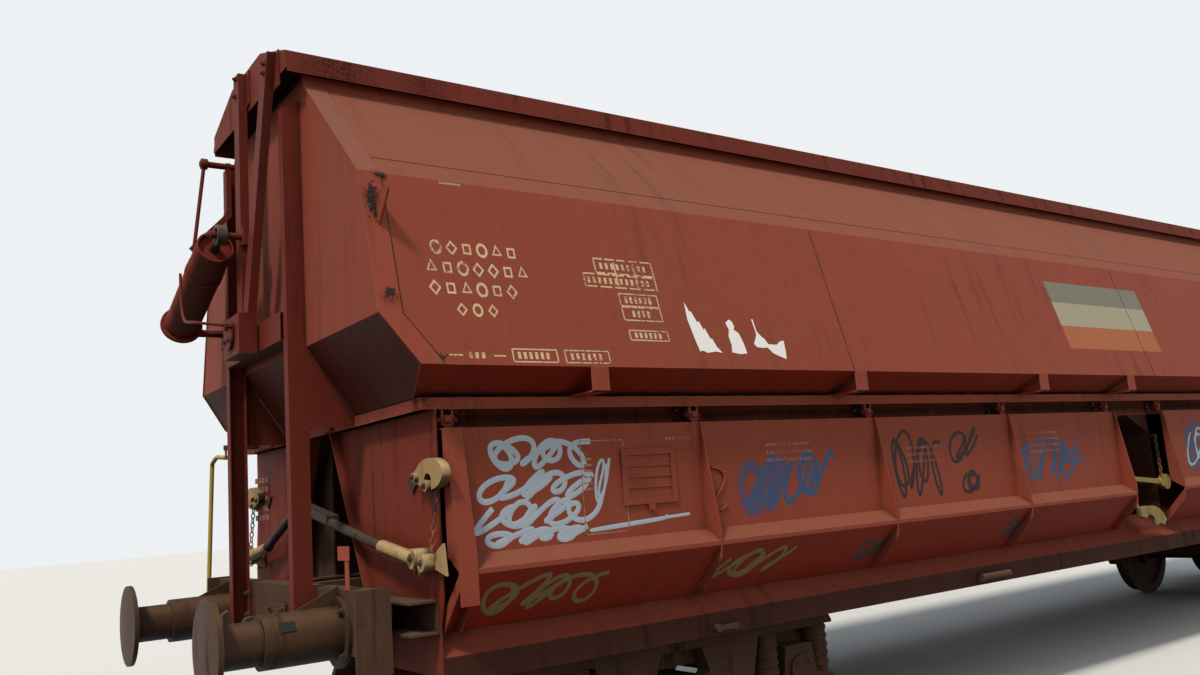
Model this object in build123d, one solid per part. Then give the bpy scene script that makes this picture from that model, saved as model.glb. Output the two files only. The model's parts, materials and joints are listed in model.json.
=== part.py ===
from build123d import *
import os
from math import atan2, cos, degrees, hypot, radians, sin

# Self-discharging hopper wagon with a swing roof, in millimetres.
# X runs along the wagon, the near side is -Y, and end "a" is the -X end.
# Heights are drawn from the rail top and each piece is lifted by the flange depth
# when it is saved, so the wheel flanges touch z = 0.

# Clearances
SEAT = 0.3              # between pieces that are bolted or welded together
PIN_PLAY = 1.0          # round a pin or journal
RUN = 8.0               # between a flap and what it shuts against

# Ends of the wagon, which all follow the body's end
BODY_X = 6670.0
HEADSTOCK_X = BODY_X - 20.0
BUFFER_FACE = HEADSTOCK_X + 620.0
BELT_X = BODY_X - 250.0
HOPPER_X = BELT_X - 75.0
FLAP_OUT_X = HOPPER_X - 15.0
POST_X = BODY_X + 94.0
SHELF_X = BODY_X + 110.0
ROOF_X = BODY_X + 105.0
ARM_BACK = SHELF_X + 10.0
CRANK_END_X = BODY_X + 269.0
CYL_X = BODY_X + 280.0
STOP_X = BODY_X - 70.0  # brackets under the open roof

# Wheels and bogies
WHEEL_R = 460.0
FLANGE = 28.0
WHEEL_BACK = 680.0      # half the distance between the wheels' inner faces
WHEEL_WIDTH = 135.0
AXLE_R = 80.0
WHEEL_SEAT_R = 95.0
HUB_R = 138.0
COLLAR_R = 84.0
JOURNAL_R = 65.0
JOURNAL_Y = 1000.0
WHEELBASE = 1800.0
PIVOT_X = 4750.0
BOX_HALF = 140.0        # axle box, along the wagon
BOX_WIDTH = 150.0
BOGIE_TOP = 850.0
SIDE_FRAME_W = 110.0
SPRING_R = 72.0
PIVOT_R = 150.0

# Buffers and headstocks
BUFFER_Y = 875.0
BUFFER_Z = 1050.0
HEAD_R = 225.0
FACE_FLAT_R = 60.0      # worn flat in the middle of the head
PLUNGER_R = 100.0
CASING_R = 122.0
CASING_LENGTH = 380.0
HEADSTOCK_DEPTH = 100.0
HEADSTOCK_Y = 1250.0
HEADSTOCK_LOW = 950.0
HEADSTOCK_TOP = 1245.0
SILL_Y = 240.0          # centre sill's outer face
SILL_FLANGE = 85.0
PLATE = 10.0            # underframe plate
FRAME_XS = (700.0, 2700.0, PIVOT_X, 6250.0)
FRAME_LOW = 960.0
BEAM_LOW = 1030.0       # channel across the wagon behind each headstock
BEAM_TOP = 1180.0
BEAM_DEPTH = 146.0
BEAM_Y = 1330.0
LOWER_END_Z = 835.0
END_STEP_Z = 1180.0     # where the lower end plate steps in to the chute
END_FOOT_Z = 1060.0
MOUTH_TOP_Y = 150.0     # steep mouth between the lower end plates
MOUTH_KNEE_Y = 600.0
MOUTH_KNEE_Z = 1150.0
MOUTH_FOOT_Y = 728.0
END_FLANGE = 60.0
GUSSET_OUT = 70.0       # end plates standing out from the headstock
MARKER_Y = 948.0
MARKER_Z = 1411.0

# Brake gear
SHOE_GAP = 6.0
SHOE_T = 52.0
SHOE_HALF = 130.0
SHOE_IN_Y = 735.0
SHOE_OUT_Y = 800.0
BEAM_R = 25.0
TANK_R = 190.0
TANK_X = (500.0, 1800.0)
BRAKE_R = 180.0
BRAKE_X = (-1750.0, -1250.0)
HANGER_DROP = 15.0
HANGER_Y = SILL_Y - SILL_FLANGE + 1.0
PIPE_R = 28.0
PIPE_Z = 848.0
PIPE_X = (-2350.0, -2030.0)
HANDLE_Z = 838.0
HANDLE_X = (-4736.0, -4580.0)

# Upper body
SKIN = 6.0
RIM_Y = 650.0
RIM_Z = 3910.0
RIM_FOLD_Z = RIM_Z - 60.0
RIM_LIP = 50.0
SHOULDER_Y = 1330.0
SHOULDER_Z = 3170.0
BELLY_Y = 1580.0
BELLY_Z = 2220.0
FOOT_Y = 1300.0
END_FOLD_Z = 2460.0
STRIP = 5.0             # thickness of the edge strips
STRIP_W = 115.0

# Belt ring under the upper body
BELT_Y = 1378.0
BELT_TOP = 2095.0
BELT_H = 55.0
LEDGE = 100.0
END_LEDGE = 70.0
STUB_W = 95.0
STUB_XS = (0.0, 1250.0, 3340.0, 5400.0)

# Saddle floor
RIDGE_Z = 2250.0
SADDLE_T = 8.0
CHUTE_Y = 1330.0
APRON_H = 120.0
TUNNEL_HALF = 375.0
TUNNEL_TOP = 1950.0
TUNNEL_EAVE = 1775.0
TUNNEL_LOW = 1100.0

# Flaps
FLAP_IN_X = 390.0
PIN_Y = 1352.0
PIN_Z = 1992.0
PIN_R = 14.0
RAIL_Z = 1950.0
FLAP_Y = 1400.0
LEDGE_Z = 1370.0
LIP_Y = 1500.0
LIP_Z = 1285.0
LIP_R = 22.0
SHUT_Y = 1238.0
RIB_T = 8.0
RIB_TOP = 16.0
END_RIB_W = 92.0
END_RIB_LOW = 1150.0
BAYS = 4

# Roof
LIP_DROP_Z = RIM_Z - 20.0
EAVE_Y = 700.0
EAVE_STEP = 14.0
EAVE_Z = RIM_Z + 100.0
CROWN_Y = 280.0
CROWN_RISE = 155.0      # from the eave up to the crown
CROWN_Z = EAVE_Z + CROWN_RISE
ROOF_END_Z = RIM_Z
ROOF_SWING = 43.0       # degrees
BOW_D = 55.0
BOW_XS = (0.0, 1350.0, 2700.0, 4050.0, 5400.0, 6500.0)
PIVOT_Z = 2600.0
ROOF_PIN_R = 40.0
ARM_T = 48.0
ARM_W = 92.0
ARM_LEAN_Y = 540.0      # where the leaning arm meets the roof
HEAD_INSET = 32.0       # arm tops below the roof's line
HEAD_DEEP = 190.0
HUB_HALF = 150.0
HUB_H = 110.0

# End posts
POST_Y = 570.0
POST_FLANGE = 60.0
POST_TOP = RIM_Z - 110.0
SHELF_LOW = 2500.0
SHELF_TOP = 2650.0

# Fittings on the body
STOP_LOW = 2880.0       # brackets under the open roof
STOP_Y = 1530.0
STOP_T = 10.0
LOCK_T = 44.0           # lock gear's castings, from the lower end plate outwards
CAM_Y = 1375.0
CAM_Z = 1745.0
CAM_HALF_Y = 137.0
CAM_HALF_Z = 72.0
CRANK_Y = 420.0         # roof lock's cranks
CRANK_Z = 3727.0
HANDLE_R = 14.0         # bent rails at two corners
HANDLE_IN_Y = 1036.0
HANDLE_TOP = 2004.0
LABEL_X = (4972.0, 5328.0)
LABEL_LOW = 1530.0
LABEL_TOP = 1817.0
LABEL_RIM = 32.0
ROLLER_X = 290.0        # release gear in the tunnel's mouths
ROLLER_Y = 1400.0
ROLLER_Z = 1358.0
ROLLER_R = 62.0
CROSS_BAR_Y = 1150.0

# Roof cylinder
CYL_R = 100.0
CYL_PIN_Y = 950.0
CYL_PIN_Z = 2790.0
EYE_Y = -50.0
EYE_Z = 3160.0
ROD_R = 26.0
STROKE = 335.0


def block(x0, x1, y0, y1, z0, z1):
    """A box between two corners."""
    solid = Box(abs(x1 - x0), abs(y1 - y0), abs(z1 - z0))
    return Pos((x0 + x1) / 2, (y0 + y1) / 2, (z0 + z1) / 2) * solid


def along_x(points, x0, x1):
    """A (y, z) outline drawn from x0 to x1."""
    face = make_face(Polyline(*points, close=True))
    return extrude(Plane.YZ.offset(min(x0, x1)) * face, abs(x1 - x0))


def along_y(points, y0, y1):
    """An (x, z) outline drawn from y0 to y1."""
    face = make_face(Polyline(*points, close=True))
    return extrude(Plane.XZ.offset(-max(y0, y1)) * face, abs(y1 - y0))


def along_z(points, z0, z1):
    """An (x, y) outline drawn from z0 to z1."""
    face = make_face(Polyline(*points, close=True))
    return extrude(Plane.XY.offset(min(z0, z1)) * face, abs(z1 - z0))


def rod(start, end, radius):
    """A round bar between two points."""
    line = Vector(*end) - Vector(*start)
    base = Plane(origin=start, z_dir=line)
    return extrude(base * Circle(radius), line.length)


def offset_line(points, distance):
    """The same open line moved to its left by a distance, with mitred corners."""
    moved = []
    count = len(points)
    for index, (u, v) in enumerate(points):
        normals = []
        for first in (index - 1, index):
            if 0 <= first < count - 1:
                du = points[first + 1][0] - points[first][0]
                dv = points[first + 1][1] - points[first][1]
                size = hypot(du, dv)
                normals.append((-dv / size, du / size))
        nu = sum(normal[0] for normal in normals) / len(normals)
        nv = sum(normal[1] for normal in normals) / len(normals)
        scale = distance / (nu * nu + nv * nv)
        moved.append((u + nu * scale, v + nv * scale))
    return moved


def sheet(points, thickness):
    """The closed outline of a bent sheet, to the left of its outer line."""
    return list(points) + offset_line(points, thickness)[::-1]


def far_to_near(part):
    return mirror(part, about=Plane.XZ)


def a_to_b(part):
    return mirror(part, about=Plane.YZ)


def both_sides(part):
    return part + far_to_near(part)


def both_ends(part):
    return part + a_to_b(part)


def save(name, part):
    lifted = Pos(0, 0, FLANGE) * part
    solids = lifted.solids()
    shape = solids[0] if len(solids) == 1 else Compound(children=list(solids))
    export_step(shape, f"parts/{name}.step")


# Upper body

BODY_LINE = [
    (RIM_Y - RIM_LIP, RIM_Z),
    (RIM_Y, RIM_Z),
    (RIM_Y, RIM_FOLD_Z),
    (SHOULDER_Y, SHOULDER_Z),
    (BELLY_Y, BELLY_Z),
    (FOOT_Y, BELT_TOP + SEAT),
]
END_CUT = [
    (-BODY_X, END_FOLD_Z),
    (-BELT_X, BELT_TOP),
    (BELT_X, BELT_TOP),
    (BODY_X, END_FOLD_Z),
    (BODY_X, RIM_Z),
    (-BODY_X, RIM_Z),
]


def side_sheet():
    """The far side's bent sheet with the edge strips and stubs."""
    wide = BELLY_Y + 100
    skin = along_x(sheet(BODY_LINE, -SKIN), -BODY_X, BODY_X)
    skin = skin & along_y(END_CUT, 0, wide)
    outside = BODY_LINE[2:5]
    strip_line = sheet(outside, STRIP)
    strips = along_x(strip_line, -BODY_X, BODY_X) & along_y(END_CUT, 0, wide)
    gap = [
        (-BODY_X + STRIP_W, END_FOLD_Z),
        (-BELT_X + STRIP_W, BELT_TOP - 1),
        (BELT_X - STRIP_W, BELT_TOP - 1),
        (BODY_X - STRIP_W, END_FOLD_Z),
        (BODY_X - STRIP_W, RIM_Z + 1),
        (-BODY_X + STRIP_W, RIM_Z + 1),
    ]
    strips = strips - along_y(gap, 0, wide)
    part = skin + strips
    stub = [
        (BELLY_Y, BELLY_Z),
        (BELLY_Y + STRIP, BELLY_Z + 8),
        (BELT_Y, BELT_TOP + SEAT),
        (FOOT_Y, BELT_TOP + SEAT),
    ]
    for x in STUB_XS:
        for place in {x, -x}:
            part = part + along_x(stub, place - STUB_W / 2, place + STUB_W / 2)
    return part


def end_wall():
    """End a's flat wall and the slope below it, inside the side sheets."""
    face = BODY_X - SKIN
    fold_in = BELT_X - SKIN
    line = [(-face, RIM_Z), (-face, END_FOLD_Z), (-fold_in, BELT_TOP + SEAT)]
    wall = along_y(sheet(line, SKIN), -BELLY_Y, BELLY_Y)
    inner = offset_line(BODY_LINE, -SKIN - SEAT)
    outline = inner + [(-y, z) for y, z in inner[::-1]]
    return wall & along_x(outline, -BODY_X, -BELT_X + 2 * LEDGE)


def belt_ring():
    """The belt under the upper body, its back plates and the fixed hinge lugs."""
    low = BELT_TOP - BELT_H
    outer = block(-BELT_X, BELT_X, -BELT_Y, BELT_Y, low, BELT_TOP)
    web = block(-BELT_X + PLATE, BELT_X - PLATE, -BELT_Y + PLATE, BELT_Y - PLATE, low, BELT_TOP - PLATE)
    hole = block(-BELT_X + END_LEDGE, BELT_X - END_LEDGE, -BELT_Y + LEDGE, BELT_Y - LEDGE, low, BELT_TOP)
    part = outer - web - hole
    back_y = BELT_Y - LEDGE
    back = block(-HOPPER_X, HOPPER_X, back_y, back_y + SADDLE_T, RAIL_Z - 20, BELT_TOP - PLATE)
    part = part + both_sides(back)
    lugs = None
    for x in hinge_places():
        for side in (-1, 1):
            centre = x + side * 26
            lug = block(centre - 5, centre + 5, PIN_Y - 28, BELT_Y - PLATE, PIN_Z - 26, BELT_TOP - PLATE)
            lugs = lug if lugs is None else lugs + lug
        pin = rod((x - 26, PIN_Y, PIN_Z), (x + 26, PIN_Y, PIN_Z), PIN_R)
        lugs = lugs + pin
    part = part + both_sides(lugs)
    brackets = (
        # from y, to y, low, top
        (-270.0, -130.0, 2046.0, 2092.0),
        (770.0, 1190.0, 2046.0, 2092.0),
    )
    for y0, y1, z0, z1 in brackets:
        part = part + both_ends(block(-BELT_X - 28, -BELT_X, y0, y1, z0, z1))
    return part


def rib_places():
    """Where the ribs stand on the flap at the +X half, from the centre outwards."""
    pitch = (FLAP_OUT_X - FLAP_IN_X - END_RIB_W - RIB_T) / BAYS
    places = [FLAP_IN_X + RIB_T / 2 + index * pitch for index in range(BAYS)]
    return places + [FLAP_OUT_X - END_RIB_W / 2]


def hinge_places():
    inner = [place + 34 if index == 0 else place for index, place in enumerate(rib_places())]
    return inner + [-place for place in inner]


# Lower hopper

def beam_back():
    """Distance of the cross beams' back from the middle, against the lower end plates."""
    return HOPPER_X + SADDLE_T + 2 * SEAT


def saddle_z(y):
    """Height of the saddle's upper face."""
    return RIDGE_Z - abs(y)


def tunnel_outline(grow, low):
    """Gabled outline of the cross tunnel as (x, z)."""
    return [
        (-TUNNEL_HALF - grow, low),
        (-TUNNEL_HALF - grow, TUNNEL_EAVE + grow),
        (0, TUNNEL_TOP + grow),
        (TUNNEL_HALF + grow, TUNNEL_EAVE + grow),
        (TUNNEL_HALF + grow, low),
    ]


def saddle_floor():
    """The ridged floor's two slopes with their chute lips and aprons."""
    foot = saddle_z(CHUTE_Y)
    line = [(0, RIDGE_Z), (CHUTE_Y, foot), (CHUTE_Y, foot - APRON_H)]
    half = along_x(sheet(line, -SADDLE_T), -HOPPER_X, HOPPER_X)
    half = half & block(-HOPPER_X, HOPPER_X, SEAT / 2, CHUTE_Y + SADDLE_T, foot - APRON_H, RIDGE_Z)
    hole = along_y(tunnel_outline(SADDLE_T + SEAT, TUNNEL_LOW), 0, CHUTE_Y)
    return both_sides(half - hole)


def cross_tunnel():
    """The gabled tunnel that crosses the wagon between the hoppers."""
    out_y = BELT_Y - LEDGE - SEAT
    shell = along_y(tunnel_outline(SADDLE_T, TUNNEL_LOW + SEAT), 0, out_y)
    shell = shell - along_y(tunnel_outline(0, TUNNEL_LOW), 0, out_y)
    top = RIDGE_Z + 2 * SEAT
    under = [(-1, top + 1), (0, top), (CHUTE_Y + 80, top - CHUTE_Y - 80), (CHUTE_Y + 80, 0), (-1, 0)]
    shell = shell - along_x(under, -TUNNEL_HALF * 2, TUNNEL_HALF * 2)
    half = TUNNEL_HALF + SADDLE_T
    face = block(-half, half, out_y - SADDLE_T, out_y, TUNNEL_EAVE, BELT_TOP - PLATE - SEAT)
    face = face - along_y(tunnel_outline(0, TUNNEL_LOW), 0, out_y + 1)
    return both_sides(shell + face)


def lower_end():
    """End a's plates below the belt, with the steep tunnel mouth between them."""
    top = BELT_TOP - BELT_H - SEAT
    foot_y = CHUTE_Y + 5
    edge = [(MOUTH_TOP_Y, top), (MOUTH_KNEE_Y, MOUTH_KNEE_Z), (MOUTH_FOOT_Y, LOWER_END_Z)]
    outline = [
        (MOUTH_TOP_Y, top),
        (BELT_Y, top),
        (BELT_Y, END_STEP_Z),
        (foot_y, END_FOOT_Z),
        (foot_y, LOWER_END_Z),
        (MOUTH_FOOT_Y, LOWER_END_Z),
        (MOUTH_KNEE_Y, MOUTH_KNEE_Z),
    ]
    plate = along_x(outline, -HOPPER_X - SADDLE_T - SEAT, -HOPPER_X - SEAT)
    flange = along_x(sheet(edge, SADDLE_T), -HOPPER_X - END_FLANGE, -HOPPER_X - SEAT)
    face = -HOPPER_X - SADDLE_T - SEAT
    beam_room = block(-HOPPER_X - END_FLANGE - 1, face, 0, BEAM_Y, BEAM_LOW - SEAT, BEAM_TOP + SEAT)
    return both_sides(plate + (flange - beam_room))


def flap():
    """The far flap at end b, hung from its rail."""
    shut_z = saddle_z(SHUT_Y) + RUN
    line = [
        (PIN_Y - 20, RAIL_Z),
        (FLAP_Y, RAIL_Z),
        (FLAP_Y, LEDGE_Z),
        (LIP_Y, LIP_Z + LIP_R),
        (LIP_Y, LIP_Z),
        (SHUT_Y + RUN, shut_z),
    ]
    skin = along_x(sheet(line, -SKIN), FLAP_IN_X, FLAP_OUT_X)
    part = skin
    front = [(FLAP_Y + RIB_TOP, RAIL_Z), (LIP_Y + STRIP, LEDGE_Z)]
    for index, x in enumerate(rib_places()):
        foot = [(LIP_Y + STRIP, LIP_Z + LIP_R), (LIP_Y, LIP_Z + LIP_R)]
        web = [(FLAP_Y, RAIL_Z), *front, *foot, (FLAP_Y, LEDGE_Z)]
        places = [x]
        if index == BAYS:
            front_line = [*front, (LIP_Y + STRIP, END_RIB_LOW)]
            part = part + along_x(sheet(front_line, -SKIN), x - END_RIB_W / 2, x + END_RIB_W / 2)
            places = [x - END_RIB_W / 2 + RIB_T / 2, x + END_RIB_W / 2 - RIB_T / 2]
        under = [
            (LIP_Y, LIP_Z),
            (LIP_Y - 8, LIP_Z - 70),
            (SHUT_Y + 70, shut_z - 4),
            (SHUT_Y + RUN, shut_z),
        ]
        for place in places:
            for outline in (web, under):
                part = part + along_x(outline, place - RIB_T / 2, place + RIB_T / 2)
    for x in hinge_places():
        if x > 0:
            eye = Pos(x, PIN_Y, PIN_Z) * Rot(0, 90, 0) * Cylinder(26, 36)
            neck = block(x - 18, x + 18, PIN_Y - 16, PIN_Y + 16, RAIL_Z - SKIN, PIN_Z)
            part = part + eye + neck
    for x in hinge_places():
        if x > 0:
            bore = Pos(x, PIN_Y, PIN_Z) * Rot(0, 90, 0) * Cylinder(PIN_R + PIN_PLAY, 40)
            part = part - bore
    return part


# Underframe

def centre_sill():
    """Two channels, each a web between two flange plates, with the seats and pins of the bogies."""
    long_x = HEADSTOCK_X - HEADSTOCK_DEPTH - SEAT
    web_low = HEADSTOCK_LOW + PLATE + SEAT
    web_top = HEADSTOCK_TOP - PLATE - SEAT
    beam = block(-long_x, long_x, SILL_Y - PLATE, SILL_Y, web_low, web_top)
    for foot in (HEADSTOCK_LOW, HEADSTOCK_TOP - PLATE):
        beam = beam + block(-long_x, long_x, SILL_Y - SILL_FLANGE, SILL_Y, foot, foot + PLATE)
    part = both_sides(beam)
    seat_y = SILL_Y - PLATE - SEAT
    low = HEADSTOCK_LOW + PLATE + SEAT
    seat = block(PIVOT_X - 160, PIVOT_X + 160, -seat_y, seat_y, low, low + 2 * PLATE)
    post = Pos(PIVOT_X, 0, (BOGIE_TOP + SEAT + low) / 2)
    pivot = post * Cylinder(PIVOT_R, low - BOGIE_TOP - SEAT)
    return part + both_ends(seat + pivot)


def cross_frames():
    """Plates that carry the saddle on the centre sill, and the beams behind the headstocks."""
    inner = SILL_Y + SEAT
    outer = CHUTE_Y - 60
    drop = SADDLE_T * 2 ** 0.5 + SEAT
    outline = [
        (inner, FRAME_LOW + 40),
        (inner, saddle_z(inner) - drop),
        (outer, saddle_z(outer) - drop),
        (outer, FRAME_LOW),
    ]
    part = None
    for x in FRAME_XS:
        plate = along_x(outline, x - PLATE / 2, x + PLATE / 2)
        part = plate if part is None else part + plate
    back = beam_back()
    front = back + BEAM_DEPTH
    channel = [
        (front, BEAM_TOP),
        (back, BEAM_TOP),
        (back, BEAM_LOW),
        (front, BEAM_LOW),
        (front, BEAM_LOW + PLATE),
        (back + PLATE, BEAM_LOW + PLATE),
        (back + PLATE, BEAM_TOP - PLATE),
        (front, BEAM_TOP - PLATE),
    ]
    beam = along_y(channel, inner, BEAM_Y)
    cover = block(front - PLATE, front, inner + 60, BEAM_Y - 210, BEAM_TOP - 78, BEAM_TOP - PLATE)
    return both_ends(both_sides(part + beam + cover))


def headstock():
    """End a's headstock."""
    face = -HEADSTOCK_X
    back = face + HEADSTOCK_DEPTH
    outline = [
        (face, HEADSTOCK_LOW),
        (face, HEADSTOCK_TOP),
        (back, HEADSTOCK_TOP),
        (back, HEADSTOCK_TOP - PLATE),
        (face + PLATE, HEADSTOCK_TOP - PLATE),
        (face + PLATE, HEADSTOCK_LOW + PLATE),
        (back, HEADSTOCK_LOW + PLATE),
        (back, HEADSTOCK_LOW),
    ]
    part = along_y(outline, -HEADSTOCK_Y, HEADSTOCK_Y)
    low = HEADSTOCK_LOW - GUSSET_OUT
    cap = block(face - GUSSET_OUT, back, HEADSTOCK_Y - PLATE, HEADSTOCK_Y, low, HEADSTOCK_TOP + PLATE)
    part = part + both_sides(cap)
    stick = block(face + 4, face + 10, -MARKER_Y - 46, -MARKER_Y - 6, HEADSTOCK_TOP + SEAT, MARKER_Z)
    foot = block(face + 4, face + 50, -MARKER_Y - 60, -MARKER_Y + 8, HEADSTOCK_TOP + SEAT, HEADSTOCK_TOP + 6)
    board = block(face, face + 4, -MARKER_Y - 70, -MARKER_Y + 70, MARKER_Z - 33, MARKER_Z + 33)
    return part + (stick + foot + board)


def end_posts():
    """End a's two channel posts, the shelf between them and the roof's pin."""
    rear = -BODY_X + SKIN - SEAT
    front = -POST_X
    web_in = POST_Y - SKIN
    outline = [
        (front, POST_Y),
        (rear, POST_Y),
        (rear, POST_Y - POST_FLANGE),
        (rear - SKIN, POST_Y - POST_FLANGE),
        (rear - SKIN, web_in),
        (front + SKIN, web_in),
        (front + SKIN, POST_Y - POST_FLANGE),
        (front, POST_Y - POST_FLANGE),
    ]
    low = HEADSTOCK_TOP - 230
    post = along_z(outline, low, POST_TOP)
    over = POST_TOP + 1
    cut = [(front - 1, POST_TOP - 60), (rear + 1, POST_TOP), (rear + 1, over), (front - 1, over)]
    post = post - along_y(cut, 0, POST_Y + 1)
    foot = block(rear - SKIN, -HEADSTOCK_X - SEAT, POST_Y - POST_FLANGE, POST_Y, low, HEADSTOCK_TOP)
    web = [
        (rear, END_FOLD_Z),
        (rear, BELT_TOP - BELT_H),
        (-BELT_X - SEAT, BELT_TOP - BELT_H),
        (-BELT_X - SEAT, BELT_TOP - 4),
    ]
    gusset = along_y(web, web_in, POST_Y)
    part = both_sides(post + foot + gusset)
    shelf_y = POST_Y - POST_FLANGE - SEAT
    shelf_outer = block(-SHELF_X, rear, -shelf_y, shelf_y, SHELF_LOW, SHELF_TOP)
    shelf_inner = block(-SHELF_X + SKIN, rear, -shelf_y, shelf_y, SHELF_LOW + SKIN, SHELF_TOP - SKIN)
    part = part + (shelf_outer - shelf_inner)
    pin = rod((-SHELF_X, 0, PIVOT_Z), (-SHELF_X - 125, 0, PIVOT_Z), ROOF_PIN_R)
    cap = rod((-SHELF_X - 115, 0, PIVOT_Z), (-SHELF_X - 127, 0, PIVOT_Z), 75)
    ear = rod((rear, CYL_PIN_Y, CYL_PIN_Z), (-CYL_X - 50, CYL_PIN_Y, CYL_PIN_Z), 24)
    pad = block(rear - SKIN, rear, CYL_PIN_Y - 90, CYL_PIN_Y + 90, CYL_PIN_Z - 90, CYL_PIN_Z + 90)
    rib = [(rear, CYL_PIN_Y - 70), (rear, CYL_PIN_Y + 70), (-CYL_X + 45, CYL_PIN_Y)]
    bracket = along_z(rib, CYL_PIN_Z - SKIN, CYL_PIN_Z + SKIN)
    return part + pin + cap + ear + pad + bracket


def buffers():
    """End a's two side buffers."""
    flange_t = 20.0
    mount = HEADSTOCK_X + SEAT
    casing_end = HEADSTOCK_X + CASING_LENGTH
    profile = [
        (0, mount),
        (165, mount),
        (165, mount + flange_t),
        (CASING_R, mount + flange_t),
        (CASING_R, casing_end),
        (PLUNGER_R, casing_end),
        (PLUNGER_R, BUFFER_FACE - 60),
        (HEAD_R, BUFFER_FACE - 36),
        (HEAD_R, BUFFER_FACE - 12),
        (FACE_FLAT_R, BUFFER_FACE),
        (0, BUFFER_FACE),
    ]
    face = make_face(Polyline(*profile, close=True))
    turned = revolve(face, axis=Axis.Y)
    turned = Rot(0, 0, 90) * turned
    root_z = CASING_R - 20
    web = [(-mount, CASING_R + 90), (-mount, root_z), (-casing_end + 120, root_z)]
    fin = along_y(web, -SKIN, SKIN)
    one = turned + fin
    return Pos(0, BUFFER_Y, BUFFER_Z) * one + Pos(0, -BUFFER_Y, BUFFER_Z) * one


def draw_gear():
    """End a's draw hook and screw coupling."""
    z = BUFFER_Z
    face = -HEADSTOCK_X - SEAT
    plate = block(face - 20, face, -130, 130, z - 95, z + 95)
    shank = block(face - 150, face - 20, -28, 28, z - 35, z + 35)
    hook = [
        (face - 150, z - 45),
        (face - 270, z - 45),
        (face - 310, z - 5),
        (face - 310, z + 70),
        (face - 280, z + 90),
        (face - 262, z + 55),
        (face - 262, z + 20),
        (face - 240, z),
        (face - 205, z + 5),
        (face - 190, z + 40),
        (face - 150, z + 45),
    ]
    bill = along_y(hook, -28, 28)
    return plate + shank + bill


# Fittings

def slope_y(z):
    """Distance of the upper slope's outer face from the middle."""
    return SHOULDER_Y + (SHOULDER_Z - z) / (SHOULDER_Z - BELLY_Z) * (BELLY_Y - SHOULDER_Y)


def roof_stops():
    """The near side's brackets below the open roof's eave."""
    top = open_lip_z() - RUN
    outline = [
        (slope_y(top) - SKIN / 2, top),
        (STOP_Y, top),
        (STOP_Y, top - 2 * STOP_T),
        (slope_y(STOP_LOW) - SKIN / 2, STOP_LOW),
    ]
    plate = along_x(outline, STOP_X - STOP_T / 2, STOP_X + STOP_T / 2)
    return far_to_near(both_ends(plate))


def lock_gear():
    """End a's flap locks: cams, knuckles and the shafts between them."""
    back = -HOPPER_X - SADDLE_T - 2 * SEAT
    front = back - LOCK_T
    shaft_x = -HOPPER_X - END_FLANGE - 30
    cam = extrude(Plane.YZ.offset(front) * Pos(CAM_Y, CAM_Z) * Ellipse(CAM_HALF_Y, CAM_HALF_Z), LOCK_T)
    slot_r = 38.0
    slot = (CAM_Y - 14, CAM_Z - 33)
    cam = cam - rod((back + 1, *slot), (front - 1, *slot), slot_r)
    cam = cam - block(back + 1, front - 1, slot[0] - slot_r, slot[0] + slot_r, CAM_Z - 90, slot[1])
    rounds = (
        # y, z, radius, how far out along x
        (1251.0, 1737.0, 36.0, LOCK_T),
        (1251.0, 1737.0, 22.0, LOCK_T + 22),
        (1338.0, 1693.0, 27.0, LOCK_T + 6),
        (1255.0, 1369.0, 46.0, LOCK_T + 50),
        (1343.0, 1350.0, 40.0, LOCK_T + 44),
    )
    for y, z, radius, out in rounds:
        cam = cam + rod((back, y, z), (back - out, y, z), radius)
    lug = along_x([(1057, 1740), (1179, 1722), (1122, 1666)], back, back - 12)
    tip = along_x([(1370, 1385), (1462, 1432), (1481, 1290), (1370, 1320)], back - 20, back - 32)
    claw_line = [(1180, 1296), (1215, 1330), (1240, 1284), (1275, 1330), (1275, 1370), (1200, 1370)]
    claws = along_x(claw_line, back - 20, back - 50)
    socket = rod((shaft_x, 905, 1424), (shaft_x, 1255, 1369), 33)
    side = cam + lug + tip + claws + socket
    link = rod((shaft_x, -60, 1606), (shaft_x, 925, 1420), 26)
    near = far_to_near(side + link)
    far_link = rod((shaft_x, 290, 1660), (shaft_x, 925, 1420), 26)
    clevis_line = [(-270, 1688), (240, 1592), (240, 1548), (-270, 1644)]
    clevis = far_to_near(along_x(clevis_line, shaft_x - 34, shaft_x + 34))
    boss = rod((shaft_x + 26, 290, 1662), (shaft_x - 45, 290, 1662), 52)
    return near + (side + far_link) + clevis + boss


def roof_locks():
    """The roof lock's cranks beside the far post at each end."""
    wall = -BODY_X + SKIN - SEAT
    shaft = rod((wall, CRANK_Y, CRANK_Z), (-CRANK_END_X, CRANK_Y, CRANK_Z), 19)
    collar = rod((-CRANK_END_X + 42, CRANK_Y, CRANK_Z), (-CRANK_END_X + 8, CRANK_Y, CRANK_Z), 33)
    half = 14.0
    bar_x = -POST_X - 12
    knee = (bar_x, CRANK_Z - 285)
    tip = (-CRANK_END_X - 50, CRANK_Z - 540)
    bar = block(bar_x - half, bar_x + half, CRANK_Y - half, CRANK_Y + half, knee[1], CRANK_Z + 20)
    lever_line = [
        (knee[0] + half, knee[1] - 30),
        (knee[0] + half, knee[1] + 20),
        (tip[0] - half, tip[1] + half),
        (tip[0] + half, tip[1] - half),
    ]
    lever = along_y(lever_line, CRANK_Y - half, CRANK_Y + half)
    pull = rod((-CRANK_END_X + 25, CRANK_Y, CRANK_Z), (tip[0] + 12, CRANK_Y, tip[1] + 10), 11)
    return both_ends(shaft + collar + bar + lever + pull)


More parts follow.
